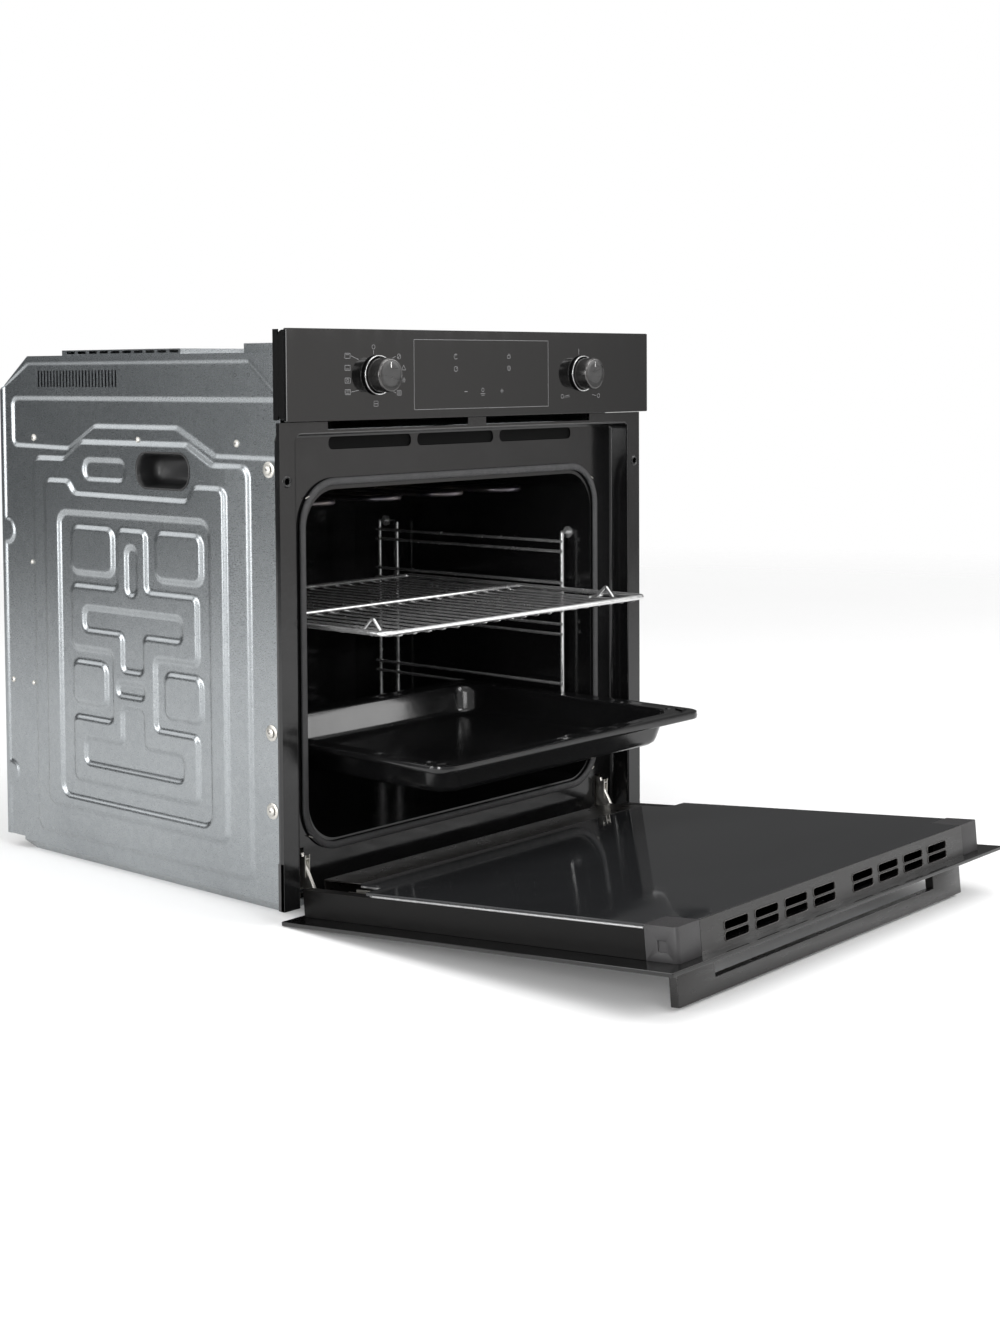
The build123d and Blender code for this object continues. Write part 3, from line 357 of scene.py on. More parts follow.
class Build:
    """Collects vertices and faces of one piece, in layout millimetres."""

    def __init__(self, place=put):
        self.verts = []
        self.faces = []
        self.place = place

    def add(self, verts, faces):
        start = len(self.verts)
        self.verts += [tuple(v) for v in verts]
        self.faces += [[start + i for i in face] for face in faces]

    def loft(self, rings, closed=True, caps=(True, True)):
        """Quads between rings of equal length."""
        count = len(rings[0])
        verts = [p for ring in rings for p in ring]
        faces = []
        for k in range(len(rings) - 1):
            for i in range(count if closed else count - 1):
                j = (i + 1) % count
                faces.append((k * count + i, k * count + j, (k + 1) * count + j, (k + 1) * count + i))
        if caps[0]:
            faces.append(tuple(reversed(range(count))))
        if caps[1]:
            faces.append(tuple(range((len(rings) - 1) * count, len(rings) * count)))
        self.add(verts, faces)

    def tube(self, points, r, sides=10, closed=False):
        """Round wire along points; r is a number or one radius per point."""
        pts = [Vector(p) for p in points]
        n = len(pts)
        radii = r if isinstance(r, (list, tuple)) else [r] * n
        tangents = []
        for i in range(n):
            a = pts[i - 1] if (i or closed) else pts[i]
            b = pts[(i + 1) % n] if (i < n - 1 or closed) else pts[i]
            tangents.append((b - a).normalized())
        side = tangents[0].orthogonal().normalized()
        rings = []
        for i in range(n):
            if i:
                side = tangents[i - 1].rotation_difference(tangents[i]) @ side
            side = (side - tangents[i] * side.dot(tangents[i])).normalized()
            up = tangents[i].cross(side)
            rings.append([pts[i] + (side * cos(2 * pi * k / sides) + up * sin(2 * pi * k / sides)) * radii[i]
                          for k in range(sides)])
        if closed:
            rings.append(rings[0])
        self.loft(rings, caps=(not closed, not closed))

    def lathe(self, centre, axis, profile, sides=48, caps=(True, True)):
        """Profile of (distance along the axis, radius) pairs turned round an axis."""
        along = Vector(axis).normalized()
        side = along.orthogonal().normalized()
        up = along.cross(side)
        rings = []
        for distance, r in profile:
            middle = Vector(centre) + along * distance
            rings.append([middle + (side * cos(2 * pi * k / sides) + up * sin(2 * pi * k / sides)) * r
                          for k in range(sides)])
        self.loft(rings, caps=caps)

    def make(self, name, body, slot, replaced=(), angle=35, mat=None, merge=True):
        mesh = bpy.data.meshes.new(name)
        mesh.from_pydata([self.place(*v) for v in self.verts], [], self.faces)
        bm = bmesh.new()
        bm.from_mesh(mesh)
        if merge:
            bmesh.ops.remove_doubles(bm, verts=bm.verts, dist=2e-6)
        bmesh.ops.recalc_face_normals(bm, faces=bm.faces)
        bm.to_mesh(mesh)
        bm.free()
        mesh.validate()
        smooth(mesh, angle)
        dress(new_object(name, mesh), body, slot, replaced, mat)


def rounded(points, bend, steps=6, closed=False):
    """A run of points with each corner turned into an arc of one bend radius."""
    pts = [Vector(p) for p in points]
    n = len(pts)
    out = []
    for i, p in enumerate(pts):
        if not closed and i in (0, n - 1):
            out.append(p)
            continue
        a = (pts[i - 1] - p).normalized()
        b = (pts[(i + 1) % n] - p).normalized()
        angle = a.angle(b)
        if angle > 3.1:
            out.append(p)
            continue
        room = min((pts[i - 1] - p).length, (pts[(i + 1) % n] - p).length) * 0.49
        reach = min(bend / math.tan(angle / 2), room)
        r = reach * math.tan(angle / 2)
        middle = p + (a + b).normalized() * (r / sin(angle / 2))
        start = (p + a * reach - middle).normalized()
        finish = (p + b * reach - middle).normalized()
        for k in range(steps + 1):
            out.append(middle + start.slerp(finish, k / steps) * r)
    return out


def rrect(w, h, r, steps=6):
    """Rounded rectangle about the origin as 2-D points."""
    out = []
    for cx, cy, start in ((w / 2 - r, h / 2 - r, 0), (r - w / 2, h / 2 - r, 90), (r - w / 2, r - h / 2, 180),
                          (w / 2 - r, r - h / 2, 270)):
        for k in range(steps + 1):
            a = radians(start + 90 * k / steps)
            out.append((cx + r * cos(a), cy + r * sin(a)))
    return out


def flat_and_round(mesh):
    """Flat shading on flat faces, smooth shading on rounded edges (marked 1) and curved walls."""
    bm = bmesh.new()
    bm.from_mesh(mesh)
    for face in bm.faces:
        curved = face.material_index == 1
        for edge in face.edges:
            if len(edge.link_faces) == 2 and not curved:
                other = [f for f in edge.link_faces if f is not face]
                angle = edge.calc_face_angle(0.0)
                curved = bool(other) and other[0].material_index == 0 and 0.03 < angle < 0.48
        face.smooth = curved
    for edge in bm.edges:
        if len(edge.link_faces) == 2:
            marked = any(f.material_index == 1 for f in edge.link_faces)
            edge.smooth = edge.calc_face_angle(0.0) < (1.2 if marked else 0.6)
    for face in bm.faces:
        face.material_index = 0
    bm.to_mesh(mesh)
    bm.free()


def bevelled(node, width, mat=None):
    """A copy of a CAD node with its edges rounded, standing for the node."""
    name = node + "_finished"
    mesh = nodes[node].data.copy()
    mesh.name = name
    obj = new_object(name, mesh)
    bm = bmesh.new()
    bm.from_mesh(mesh)
    bmesh.ops.remove_doubles(bm, verts=bm.verts, dist=3e-6)
    bmesh.ops.dissolve_limit(bm, angle_limit=radians(1.0), verts=bm.verts, edges=bm.edges)
    bm.to_mesh(mesh)
    bm.free()
    bevel = obj.modifiers.new("bevel", "BEVEL")
    bevel.width = width * MM
    bevel.segments = 2
    bevel.limit_method = "ANGLE"
    bevel.angle_limit = radians(28)
    bevel.use_clamp_overlap = True
    bevel.material = 1      # the new faces get index 1, which flat_and_round reads and clears
    mesh.materials.clear()
    mesh.materials.append(None)
    mesh.materials.append(None)
    bpy.context.view_layer.update()
    graph = bpy.context.evaluated_depsgraph_get()
    made = bpy.data.meshes.new_from_object(obj.evaluated_get(graph))
    obj.modifiers.clear()
    obj.data = made
    bpy.data.meshes.remove(mesh)
    made.name = name
    flat_and_round(made)
    dress(obj, nodes[node]["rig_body"], SLOT_OF[node], (node,), mat)


# ---------------------------------------------------------------- pressed side panels
SIDE_X = 270.2          # outer face of a side panel
SHEET = 1.2
PITCH = 1.9             # grid of the pressed sheet
PANEL_FRONT, PANEL_BACK = 42.4, 530.0
PANEL_LOW, PANEL_TOP = 1.0, 571.0
SLOPE_Y, SLOPE_Z = 475.0, 531.0         # where the sloping rear top edge starts
WALL = 5.6              # width of a pressed step
VENT_SLOTS = [311.0 + 6.0 * i for i in range(25)]
VENT_LOW, VENT_HIGH, VENT_HALF = 535.0, 554.0, 1.3
GRIP = (227.5, 444.0)
GRIP_HALF_Y, GRIP_HALF_Z, GRIP_R = 27.5, 2.5, 16.4
PLATEAU_RISE = 2.9
PLATEAU_FALL = 0.03     # how fast the plateau falls away to the front, from PLATEAU_LEVEL_TO
PLATEAU_LEVEL_TO = 125.0
FLANGE_Y = 523.0

# Outline in (Y, Z), corner radius, height of the step.
STEPS = (
    (((508, 522), (508, 467), (402, 465), (352, 491), (207, 491), (144, 462), (20, 461), (20, 522)), 8, -2.0),
    (((560, 562), (88, 562), (20, 507), (20, 620), (560, 620)), 3, 1.2),
    (((466, 453), (407, 453), (373, 473), (188, 473), (146, 452), (90, 452), (90, 16), (466, 16)),
     12, PLATEAU_RISE),
    (((441, 428), (396, 428), (384, 414), (186, 412.5), (173, 428), (125, 428), (125, 51), (441, 51)),
     10, 2.7),
    (((150, 392), (414, 392), (414, 64), (150, 64)), 14, -2.7),
    (((315, 376), (391, 376), (391, 324), (315, 324)), 11, 2.6),
    (((163, 376), (240, 376), (240, 324), (163, 324)), 11, 2.6),
    (((330, 222), (391, 222), (391, 174), (330, 174)), 10, 2.6),
    (((165, 222), (227, 222), (227, 173), (165, 173)), 10, 2.6),
    (((307, 376), (257, 376), (257, 309), (171, 309), (171, 237), (243, 237), (243, 158), (172, 158),
      (172, 85), (391, 85), (391, 158), (318, 158), (318, 237), (392, 237), (392, 309), (307, 309)), 8, 2.6),
    (((273, 358), (291, 358), (291, 304), (273, 304)), 8.5, -2.4),
    (((196, 285), (369, 285), (369, 259), (300, 259), (300, 218), (263, 218), (263, 259), (196, 259)),
     8, -2.4),
    (((262, 205), (309, 205), (309, 190), (262, 190)), 6, -2.2),
    (((263, 177), (302, 177), (302, 135), (370, 135), (370, 106), (196, 106), (196, 135), (263, 135)),
     8, -2.4),
    (((294, 453), (368, 453), (368, 431), (294, 431)), 10, -2.2),
)


def distance_inside(points, ys, zs):
    """Signed distance to a closed outline, positive inside."""
    best = np.full(ys.shape, 1e9)
    inside = np.zeros(ys.shape, bool)
    for (ay, az), (by, bz) in zip(points, points[1:] + points[:1]):
        dy, dz = by - ay, bz - az
        length = dy * dy + dz * dz
        if length < 1e-9:
            continue
        t = np.clip(((ys - ay) * dy + (zs - az) * dz) / length, 0, 1)
        best = np.minimum(best, np.hypot(ys - ay - t * dy, zs - az - t * dz))
        if az != bz:
            crosses = ((az > zs) != (bz > zs)) & (ys < (by - ay) * (zs - az) / (bz - az) + ay)
            inside ^= crosses
    return np.where(inside, best, -best)


def step(distance, width):
    t = np.clip(distance / width + 0.5, 0, 1)
    return t * t * (3 - 2 * t)


def grid_lines(low, high, fixed):
    """Grid lines from low to high, with every fixed place on a line."""
    marks = sorted(set([low, high] + [f for f in fixed if low < f < high]))
    lines = []
    for a, b in zip(marks, marks[1:]):
        n = max(1, round((b - a) / PITCH))
        lines += [a + (b - a) * k / n for k in range(n)]
    return np.array(lines + [high])


def pressed_height(ys, zs):
    """Height of the pressed pattern and of the rear flange over the sheet."""
    height = np.zeros(ys.shape)
    for outline, bend, rise in STEPS:
        curve = [(p.x, p.y) for p in rounded([(y, z, 0) for y, z in outline], bend, 5, closed=True)]
        inside = step(distance_inside(curve, ys, zs), WALL)
        height += rise * inside
        if rise == PLATEAU_RISE:
            height -= PLATEAU_FALL * np.clip(PLATEAU_LEVEL_TO - ys, 0, 35) * inside
    flange = ys - FLANGE_Y
    for z in (365.0, 75.0):     # round lobes of the rear flange
        flange = np.maximum(flange, 14.0 - np.hypot(ys - (FLANGE_Y - 2.0), zs - z))
    return height + 1.5 * step(flange, 4.0)


def side_panel(name, side):
    """Galvanised side: pressed pattern, vent slots, grip opening and a folded edge."""
    slot_edges = [y + e for y in VENT_SLOTS for e in (-VENT_HALF, VENT_HALF)]
    y_lines = grid_lines(PANEL_FRONT, PANEL_BACK, slot_edges)
    z_lines = grid_lines(PANEL_LOW, PANEL_TOP, [VENT_LOW, VENT_HIGH])
    ys, zs = np.meshgrid(y_lines, z_lines, indexing="ij")
    height = pressed_height(ys, zs)
    slope = (PANEL_TOP - SLOPE_Z) / (PANEL_BACK - SLOPE_Y)
    limit = np.where(ys > SLOPE_Y, PANEL_TOP - (ys - SLOPE_Y) * slope, PANEL_TOP)
    zs = np.where(zs > SLOPE_Z, SLOPE_Z + (zs - SLOPE_Z) * (limit - SLOPE_Z) / (PANEL_TOP - SLOPE_Z), zs)
    ny, nz = ys.shape
    verts = [put(side * (SIDE_X + height[i, j]), ys[i, j], zs[i, j]) for i in range(ny) for j in range(nz)]
    mid_y = (y_lines[:-1] + y_lines[1:]) / 2
    mid_z = (z_lines[:-1] + z_lines[1:]) / 2
    slot = (np.abs(mid_y[:, None] - np.array(VENT_SLOTS)[None, :]).min(1) < VENT_HALF)
    open_z = (mid_z > VENT_LOW) & (mid_z < VENT_HIGH)
    gy, gz = np.meshgrid(mid_y - GRIP[0], mid_z - GRIP[1], indexing="ij")
    corner = np.hypot(np.maximum(np.abs(gy) - GRIP_HALF_Y, 0), np.maximum(np.abs(gz) - GRIP_HALF_Z, 0))
    hole = corner < GRIP_R
    faces = []
    for i in range(ny - 1):
        for j in range(nz - 1):
            if hole[i, j] or (slot[i] and open_z[j]):
                continue
            a = i * nz + j
            quad = (a, a + nz, a + nz + 1, a + 1)
            faces.append(quad if side > 0 else quad[::-1])
    mesh = bpy.data.meshes.new(name)
    mesh.from_pydata(verts, [], faces)
    bm = bmesh.new()
    bm.from_mesh(mesh)
    bmesh.ops.delete(bm, geom=[v for v in bm.verts if not v.link_faces], context="VERTS")
    bmesh.ops.remove_doubles(bm, verts=bm.verts, dist=1e-6)
    edges = [e for e in bm.edges if len(e.link_faces) == 1]
    made = bmesh.ops.extrude_edge_only(bm, edges=edges)["geom"]
    inner = side * (SIDE_X - SHEET) * MM
    for v in made:
        if isinstance(v, bmesh.types.BMVert):
            v.co.x = inner
    bmesh.ops.recalc_face_normals(bm, faces=bm.faces)
    bm.to_mesh(mesh)
    bm.free()
    mesh.validate()
    smooth(mesh, 48)
    label = "right" if side > 0 else "left"
    dress(new_object(name, mesh), "root", "galvanised_steel", (f"{label}_side_panel",))


side_panel("right_pressed_side", 1)
side_panel("left_pressed_side", -1)

SCREWS = ((469, 476, 4.2), (111, 476, 4.2), (515, 187, 3.6))
RIVETS = ((273, 477, 3.4), (473, 330, 2.8), (474, 187, 2.8))
WASHER_SCREWS = ((59, 450), (59, 176), (59, 94))
SMALL_HOLES = ((486, 445), (486, 428), (486, 418), (508, 330), (82, 477), (110, 548), (89, 548))


def surface_height(y, z):
    """Height of the pressed side at one place."""
    total = 0.0
    for outline, bend, rise in STEPS:
        points = [(float(a), float(b)) for a, b in outline]
        inside = distance_inside(points, np.array([[float(y)]]), np.array([[float(z)]]))
        total += rise * float(step(inside, WALL)[0, 0])
    return total


RECESS_ARMS = ((2.6, 0.7), (0.7, 2.6))      # the two bars of a cross recess
heads = Build()
crosses = Build()
holes = Build()
for side in SIDES:
    out = (side, 0, 0)
    for y, z, r in SCREWS + RIVETS:
        x = side * (SIDE_X + surface_height(y, z) - 0.2)
        heads.lathe((x, y, z), out, ((0, r), (0.5, r), (1.2, r * 0.9), (1.9, r * 0.62), (2.2, r * 0.25),
                                     (2.25, 0.01)), 28)
    for y, z in WASHER_SCREWS:
        x = side * (SIDE_X - 0.1)
        heads.lathe((x, y, z), out, ((0, 8.6), (0.7, 8.6), (1.0, 8.2), (1.2, 6.2), (1.3, 5.4), (2.4, 5.2),
                                     (3.4, 4.2), (3.9, 1.8), (3.9, 0.01)), 32)
    # Black bars in the screw heads: painted shade standing in for the dark inside of the cross recesses.
    for y, z, top in [(y, z, 2.2) for y, z, r in SCREWS] + [(y, z, 4.0) for y, z in WASHER_SCREWS]:
        x = side * (SIDE_X + surface_height(y, z) - 0.1 + top)
        for length, width in RECESS_ARMS:
            bar = [(y + a * length / 2, z + b * width / 2) for a, b in SQUARE]
            crosses.loft([[(x + side * depth, a, b) for a, b in bar] for depth in (-0.5, 0.03)])
    # Black discs sunk in the small holes: painted shade standing in for the dark inside of each hole.
    for y, z in SMALL_HOLES:
        x = side * (SIDE_X + surface_height(y, z))
        holes.lathe((x, y, z), out, ((-0.8, 2.0), (0.04, 2.0), (0.05, 1.6), (-0.3, 1.5), (-0.31, 0.01)), 20)
heads.make("side_screw_heads", "root", "zinc_steel", ("body_screws",))
crosses.make("side_screw_recess_shade", "root", "black_plastic")
holes.make("side_small_hole_shade", "root", "black_plastic")


# ---------------------------------------------------------------- grip cups
def loft_rrect(build, side, centre, levels):
    """Loft of rounded rectangles at (X, width, height, radius)."""
    rings = []
    for x, w, h, r in levels:
        rings.append([(side * x, centre[0] + a, centre[1] + b) for a, b in rrect(w, h, r, 8)])
    build.loft(rings, caps=(False, True))


cups = Build()
for side in SIDES:
    top = SIDE_X + PLATEAU_RISE
    loft_rrect(cups, side, GRIP, (
        (top - 2.0, 92, 42, 18.5), (top + 0.5, 92, 42, 18.5), (top + 1.1, 91.2, 41.2, 18),
        (top + 1.4, 90, 40, 17.5), (top + 1.2, 88.6, 38.6, 17), (top + 0.4, 87, 37, 16.5),
        (top - 4, 84, 34.5, 15.5), (top - 18, 81, 32, 14.5), (top - 23, 77, 28, 12.5),
        (top - 26.5, 66, 19, 8)))
cups.make("moulded_grip_cups", "root", "black_plastic", ("grip_cups",), angle=60, mat=DARK_MOULDING)

# ---------------------------------------------------------------- bevelled sheet-metal and moulded parts
for node, width in (("bottom_pan", 0.4), ("rear_panel", 0.3), ("top_cover", 0.3), ("vent_hood", 0.5),
                    ("duct_plate", 0.8), ("terminal_box", 0.5), ("cable_gland", 0.6), ("front_frame", 1.1),
                    ("front_crossmember", 0.3), ("fascia_glass", 0.45), ("fan_cover", 0.4),
                    ("hinge_arms", 0.4), ("left_hinge_clip", 0.3), ("right_hinge_clip", 0.3),
                    ("door_outer_glass", 0.45), ("door_inner_glass", 0.5), ("door_top_rail", 0.55),
                    ("door_bottom_rail", 0.5), ("door_corner_caps", 1.1), ("door_handle", 0.6),
                    ("hinge_channels", 0.3)):
    bevelled(node, width)
bevelled("fascia_chassis", 0.6, MATT_BLACK)
bevelled("door_side_channels", 0.4, CHANNEL_BLACK)

# ---------------------------------------------------------------- knobs and bezels
KNOB_X, KNOB_Z = 170.0, 547.0
bezels = Build()
collars = Build()
for side in SIDES:
    bezels.lathe((side * KNOB_X, 0, KNOB_Z), FRONT, (
        (2.2, 20.4), (2.5, 20.75), (2.9, 21.0), (3.4, 21.0), (3.8, 20.7), (4.0, 20.3), (3.9, 19.8),
        (3.6, 19.4), (3.1, 19.1), (2.4, 19.1), (2.2, 19.6), (2.2, 20.4)), 72, caps=OPEN_ENDS)
    collars.lathe((side * KNOB_X, 0, KNOB_Z), FRONT, (
        (-26, 19.2), (-0.4, 19.2), (-0.1, 20.4), (2.3, 20.3), (2.4, 19.0), (-26, 18.6), (-26, 19.2)),
        72, caps=OPEN_ENDS)
collars.make("knob_collars", "root", "black_plastic", ("knob_bezels",), angle=50, mat=MATT_BLACK)
bezels.make("chromed_bezels", "root", "chrome", angle=50, mat=DARK_CHROME)

for x, label in ((-KNOB_X, "function"), (KNOB_X, "temperature")):
    body = Build()
    body.lathe((x, 0, KNOB_Z), FRONT, (
        (-8, 3.1), (-8, 16.8), (-7.4, 17.8), (-6, 18.0), (19.2, 18.0), (20.1, 17.7), (20.7, 17.1),
        (21.0, 16.2), (21.0, 15.6), (20.7, 15.4), (20.7, 0.01)), 72, caps=OPEN_ENDS)
    body.make(f"{label}_knob_body", f"{label}_knob", "knob_black", (f"{label}_knob",), angle=50)
    face = Build()
    face.lathe((x, 0, KNOB_Z), FRONT, ((20.5, 15.3), (20.85, 15.3), (20.95, 15.0), (20.9, 11.0),
                                       (20.82, 4.0), (20.8, 0.01)), 72, caps=OPEN_ENDS)
    face.make(f"{label}_knob_face", f"{label}_knob", "knob_black", mat=SATIN_FACE, angle=60)
    mark = Build()
    bar = [(x + a * 0.5, KNOB_Z + 7.5 + b * 6.2) for a, b in ((-1, 0), (1, 0), (1, 1), (-1, 1))]
    mark.loft([[(a, y, b) for a, b in bar] for y in (-20.6, -21.02)])
    mark.make(f"{label}_knob_mark", f"{label}_knob", "chrome")

# ---------------------------------------------------------------- prints on the fascia
PRINT_FRONT, PRINT_BACK = -0.05, 0.02


class Print(Build):
    """Thin lines printed on the fascia glass."""

    def line(self, a, b, width=0.5):
        (ax, az), (bx, bz) = a, b
        length = math.hypot(bx - ax, bz - az)
        nx, nz = -(bz - az) / length * width / 2, (bx - ax) / length * width / 2
        bar = ((ax + nx, az + nz), (ax - nx, az - nz), (bx - nx, bz - nz), (bx + nx, bz + nz))
        self.loft([[(x, y, z) for x, z in bar] for y in (PRINT_BACK, PRINT_FRONT)])

    def path(self, points, width=0.5, closed=False):
        for a, b in zip(points, points[1:] + (points[:1] if closed else [])):
            self.line(a, b, width)

    def box(self, x, z, w, h, width=0.5):
        x0, x1, z0, z1 = x - w / 2, x + w / 2, z - h / 2, z + h / 2
        self.path([(x0, z0), (x1, z0), (x1, z1), (x0, z1)], width, True)

    def ring(self, x, z, r, width=0.5, start=0, end=360, steps=20):
        points = [(x + r * cos(radians(start + (end - start) * k / steps)),
                   z + r * sin(radians(start + (end - start) * k / steps))) for k in range(steps + 1)]
        self.path(points, width)


ink = Print()
ink.box(-2.5, 547.1, 223, 75, 0.45)                      # display outline
ink.line((-175, 568.5), (-175, 573), 0.6)               # left dial: off mark, then eight function signs
ink.ring(-175, 576.4, 2.2)
for z, kind in ((567, 0), (554.6, 1), (541.5, 2), (529.6, 3)):
    ink.box(-213, z, 7.5, 5.2)
    if kind in (0, 3):
        ink.line((-215.5, z + 1.2), (-210.5, z + 1.2))
    if kind in (1, 3):
        ink.line((-215.5, z - 1.2), (-210.5, z - 1.2))
    if kind == 2:
        ink.ring(-213, z, 1.5)
ink.line((-208, 567), (-197, 563.2))
ink.line((-208, 529.6), (-197, 531.4))
for x, z, kind in ((-137, 566.5, 0), (-130, 554.6, 1), (-130, 541.5, 2), (-137, 528, 3)):
    if kind == 0:
        ink.ring(x, z, 2.6)
        ink.line((x - 1.8, z - 1.8), (x + 1.8, z + 1.8))
    elif kind == 1:
        ink.path([(x - 3, z - 2.4), (x + 3, z - 2.4), (x, z + 2.8)], closed=True)
    elif kind == 2:
        ink.ring(x, z, 1.0)
        for a in range(0, 360, 60):
            ink.line((x + 1.6 * cos(radians(a)), z + 1.6 * sin(radians(a))),
                     (x + 3.0 * cos(radians(a)), z + 3.0 * sin(radians(a))))
    else:
        ink.box(x, z, 6, 5)
        ink.ring(x, z, 1.3)
ink.line((-142, 566.5), (-150, 563.6))
ink.line((-142, 528), (-150, 530.8))
ink.box(-172, 517, 6, 5.4)
ink.line((-174.4, 517), (-169.6, 517))
ink.line((165, 569), (165, 576), 0.6)                   # right dial: pointer tick and its two end signs
ink.ring(134.5, 520.5, 2.3)
ink.line((139, 520.5), (147, 522), 0.5)
ink.ring(202, 520.5, 2.3)
ink.line((190, 522), (197.5, 520.5), 0.5)
for k in range(5):
    ink.line((139 + 2.2 * k, 519.4 + 0.3 * k), (139 + 2.2 * k, 518.4 + 0.3 * k), 0.45)
ink.ring(-48, 566.5, 2.8, 0.5, 40, 320)                 # touch keys
ink.line((-48, 566.5), (-48, 569.4))
ink.ring(-48, 553, 2.8)
ink.line((-48, 553), (-46.3, 554.4))
ink.path([(38, 564.6), (42.4, 564.6), (42.4, 568), (38, 568)], closed=True)
ink.ring(40.2, 568, 1.5, 0.45, 0, 180, 10)
ink.ring(40.2, 553.4, 2.6)
ink.line((40.2, 551.6), (40.2, 555.2))
ink.line((-34.5, 528), (-29.5, 528), 0.65)
ink.ring(-4, 529.5, 2.0)
ink.line((-8, 525.4), (0, 525.4), 0.5)
ink.line((-6.5, 523.6), (-1.5, 523.6), 0.5)
ink.line((25.5, 528), (30.5, 528), 0.65)
ink.line((28, 525.5), (28, 530.5), 0.65)
ink.make("fascia_signs", "root", "black_glass", mat=PRINT, merge=False)

# ---------------------------------------------------------------- door seal
GASKET_X, GASKET_Y, GASKET_Z0, GASKET_Z1, GASKET_R = 242.7, 38.7, 49.2, 435.3, 46.0
GASKET_FLATTEN = 0.54       # the seal is pressed flat against the frame
corners = [(-GASKET_X, GASKET_Y, GASKET_Z0), (GASKET_X, GASKET_Y, GASKET_Z0),
           (GASKET_X, GASKET_Y, GASKET_Z1), (-GASKET_X, GASKET_Y, GASKET_Z1)]
run = rounded(corners, GASKET_R, 16, closed=True)
dense = []
for a, b in zip(run, run[1:] + run[:1]):
    n = max(1, round((b - a).length / 1.25))
    dense += [a + (b - a) * (k / n) for k in range(n)]
seal = Build(lambda x, y, z: put(x, GASKET_Y + (y - GASKET_Y) * GASKET_FLATTEN, z))
seal.tube(dense, [4.25 if k % 2 else 4.05 for k in range(len(dense))], 14, closed=True)
seal.make("braided_door_seal", "root", "gasket_rubber", ("door_gasket",), angle=80)
hooks = Build()
for side in SIDES:
    for z, tilt in ((GASKET_Z0 + 14, 2), (GASKET_Z1 - 14, -2)):
        bent = [(side * (GASKET_X - reach), y, z + lift)
                for reach, y, lift in ((14, 41.6, -tilt), (12, 38.2, 0), (8, 37.4, 0), (4, 38.2, tilt))]
        hooks.tube(rounded(bent, 2, 4), 0.6, 8)
hooks.make("seal_hooks", "root", "zinc_steel")

# ---------------------------------------------------------------- wire shelf
SX, SY0, SY1, SZ = 217.2, -56.0, 332.0, 283.3     # half width, front, back and height of its outer wire
SHELF_WIRES = 19
STOP_X = 195.0
shelf = Build()
rim = rounded([(-SX, SY0, SZ), (SX, SY0, SZ), (SX, SY1, SZ), (-SX, SY1, SZ)], 9, 8, closed=True)
shelf.tube(rim, 3.0, 16, closed=True)
shelf.tube([(-SX, 138, SZ), (SX, 138, SZ)], 2.6, 14)
for i in range(SHELF_WIRES):
    wx = -SX + 2 * SX * (i + 1) / (SHELF_WIRES + 1)
    shelf.tube([(wx, SY0 - 1.6, SZ - 2.2), (wx, SY0 + 0.6, SZ - 3.2), (wx, SY0 + 6, SZ - 3.4),
                (wx, 130, SZ - 3.4), (wx, 146, SZ - 3.4), (wx, SY1 - 6, SZ - 3.4),
                (wx, SY1 - 0.6, SZ - 3.2), (wx, SY1 + 1.4, SZ - 2.4)],
               [1.1, 1.55, 1.5, 1.5, 1.5, 1.5, 1.55, 1.1], 10)
for side in SIDES:
    bx = side * STOP_X
    stop = rounded([(bx, SY0 + 21, SZ - 2.6), (bx, SY0 + 29, SZ - 1.5), (bx, SY0 + 40.5, SZ + 11.5),
                    (bx, SY0 + 54, SZ - 1.5), (bx, SY0 + 62, SZ - 2.6)], 3.0, 6)
    shelf.tube(stop, 1.8, 12)
    for along in (20, 63):
        shelf.tube([(side * SX, SY0 + along, SZ - 2.2), (side * 190, SY0 + along, SZ - 3.0)], 1.5, 10)
shelf.make("chromed_wire_shelf", "shelf", "chrome", ("wire_shelf",), angle=60)

# ---------------------------------------------------------------- baking tray
TX, TY0, TY1, TZ = 220.4, -141.0, 231.0, 155.9     # half width, front, back and height of its rim
TRAY_MID = (TY0 + TY1) / 2
TRAY_DEPTH = TY1 - TY0


def tray_ring(inset, z, r, front_drop=0.0):
    """One level of the tray: the outline drawn in by inset; the front edge may hang lower."""
    ring = []
    for a, b in rrect(2 * (TX - inset), TRAY_DEPTH - 2 * inset, r, 10):
        y = TRAY_MID + b
        drop = front_drop if y < TY0 + 30 else 0.0
        ring.append((a, y, z - drop))
    return ring


# Levels from the rolled edge to the middle: inset, height over the rim, corner radius, drop of the front.
TRAY_INSIDE = (
    (2.6, -0.6, 20, 4.6), (1.3, -1.6, 21, 5.2), (0.3, -1.3, 22, 4.8), (0.0, -0.2, 22, 3.0),
    (0.5, 0.8, 22, 0.0), (1.8, 1.3, 21, 0), (8.0, 1.2, 18, 0), (12.0, 0.6, 17, 0), (20.0, 0.5, 25, 0),
    (23.5, 0.9, 27, 0), (25.0, 0.2, 28, 0), (26.2, -2.0, 29, 0), (28.0, -9.0, 29, 0), (33.0, -27.0, 28, 0),
    (34.6, -31.0, 27, 0), (37.5, -33.6, 25, 0), (42.0, -34.7, 22, 0), (60.0, -34.8, 18, 0))
TRAY_OUTSIDE = (
    (2.6, -0.6, 20, 4.6), (4.0, -0.4, 20, 0), (8.0, 0.0, 18, 0), (12.0, -0.6, 17, 0), (22.0, -0.7, 25, 0),
    (25.0, -3.2, 28, 0), (27.0, -10.0, 29, 0), (32.0, -28.0, 28, 0), (34.0, -32.6, 27, 0),
    (38.0, -35.6, 25, 0), (42.0, -36.0, 22, 0), (60.0, -36.0, 18, 0))
inside_rings = [tray_ring(inset, TZ + z, r, drop) for inset, z, r, drop in TRAY_INSIDE]
outside_rings = [tray_ring(inset, TZ + z, r, drop)[::-1] for inset, z, r, drop in TRAY_OUTSIDE]
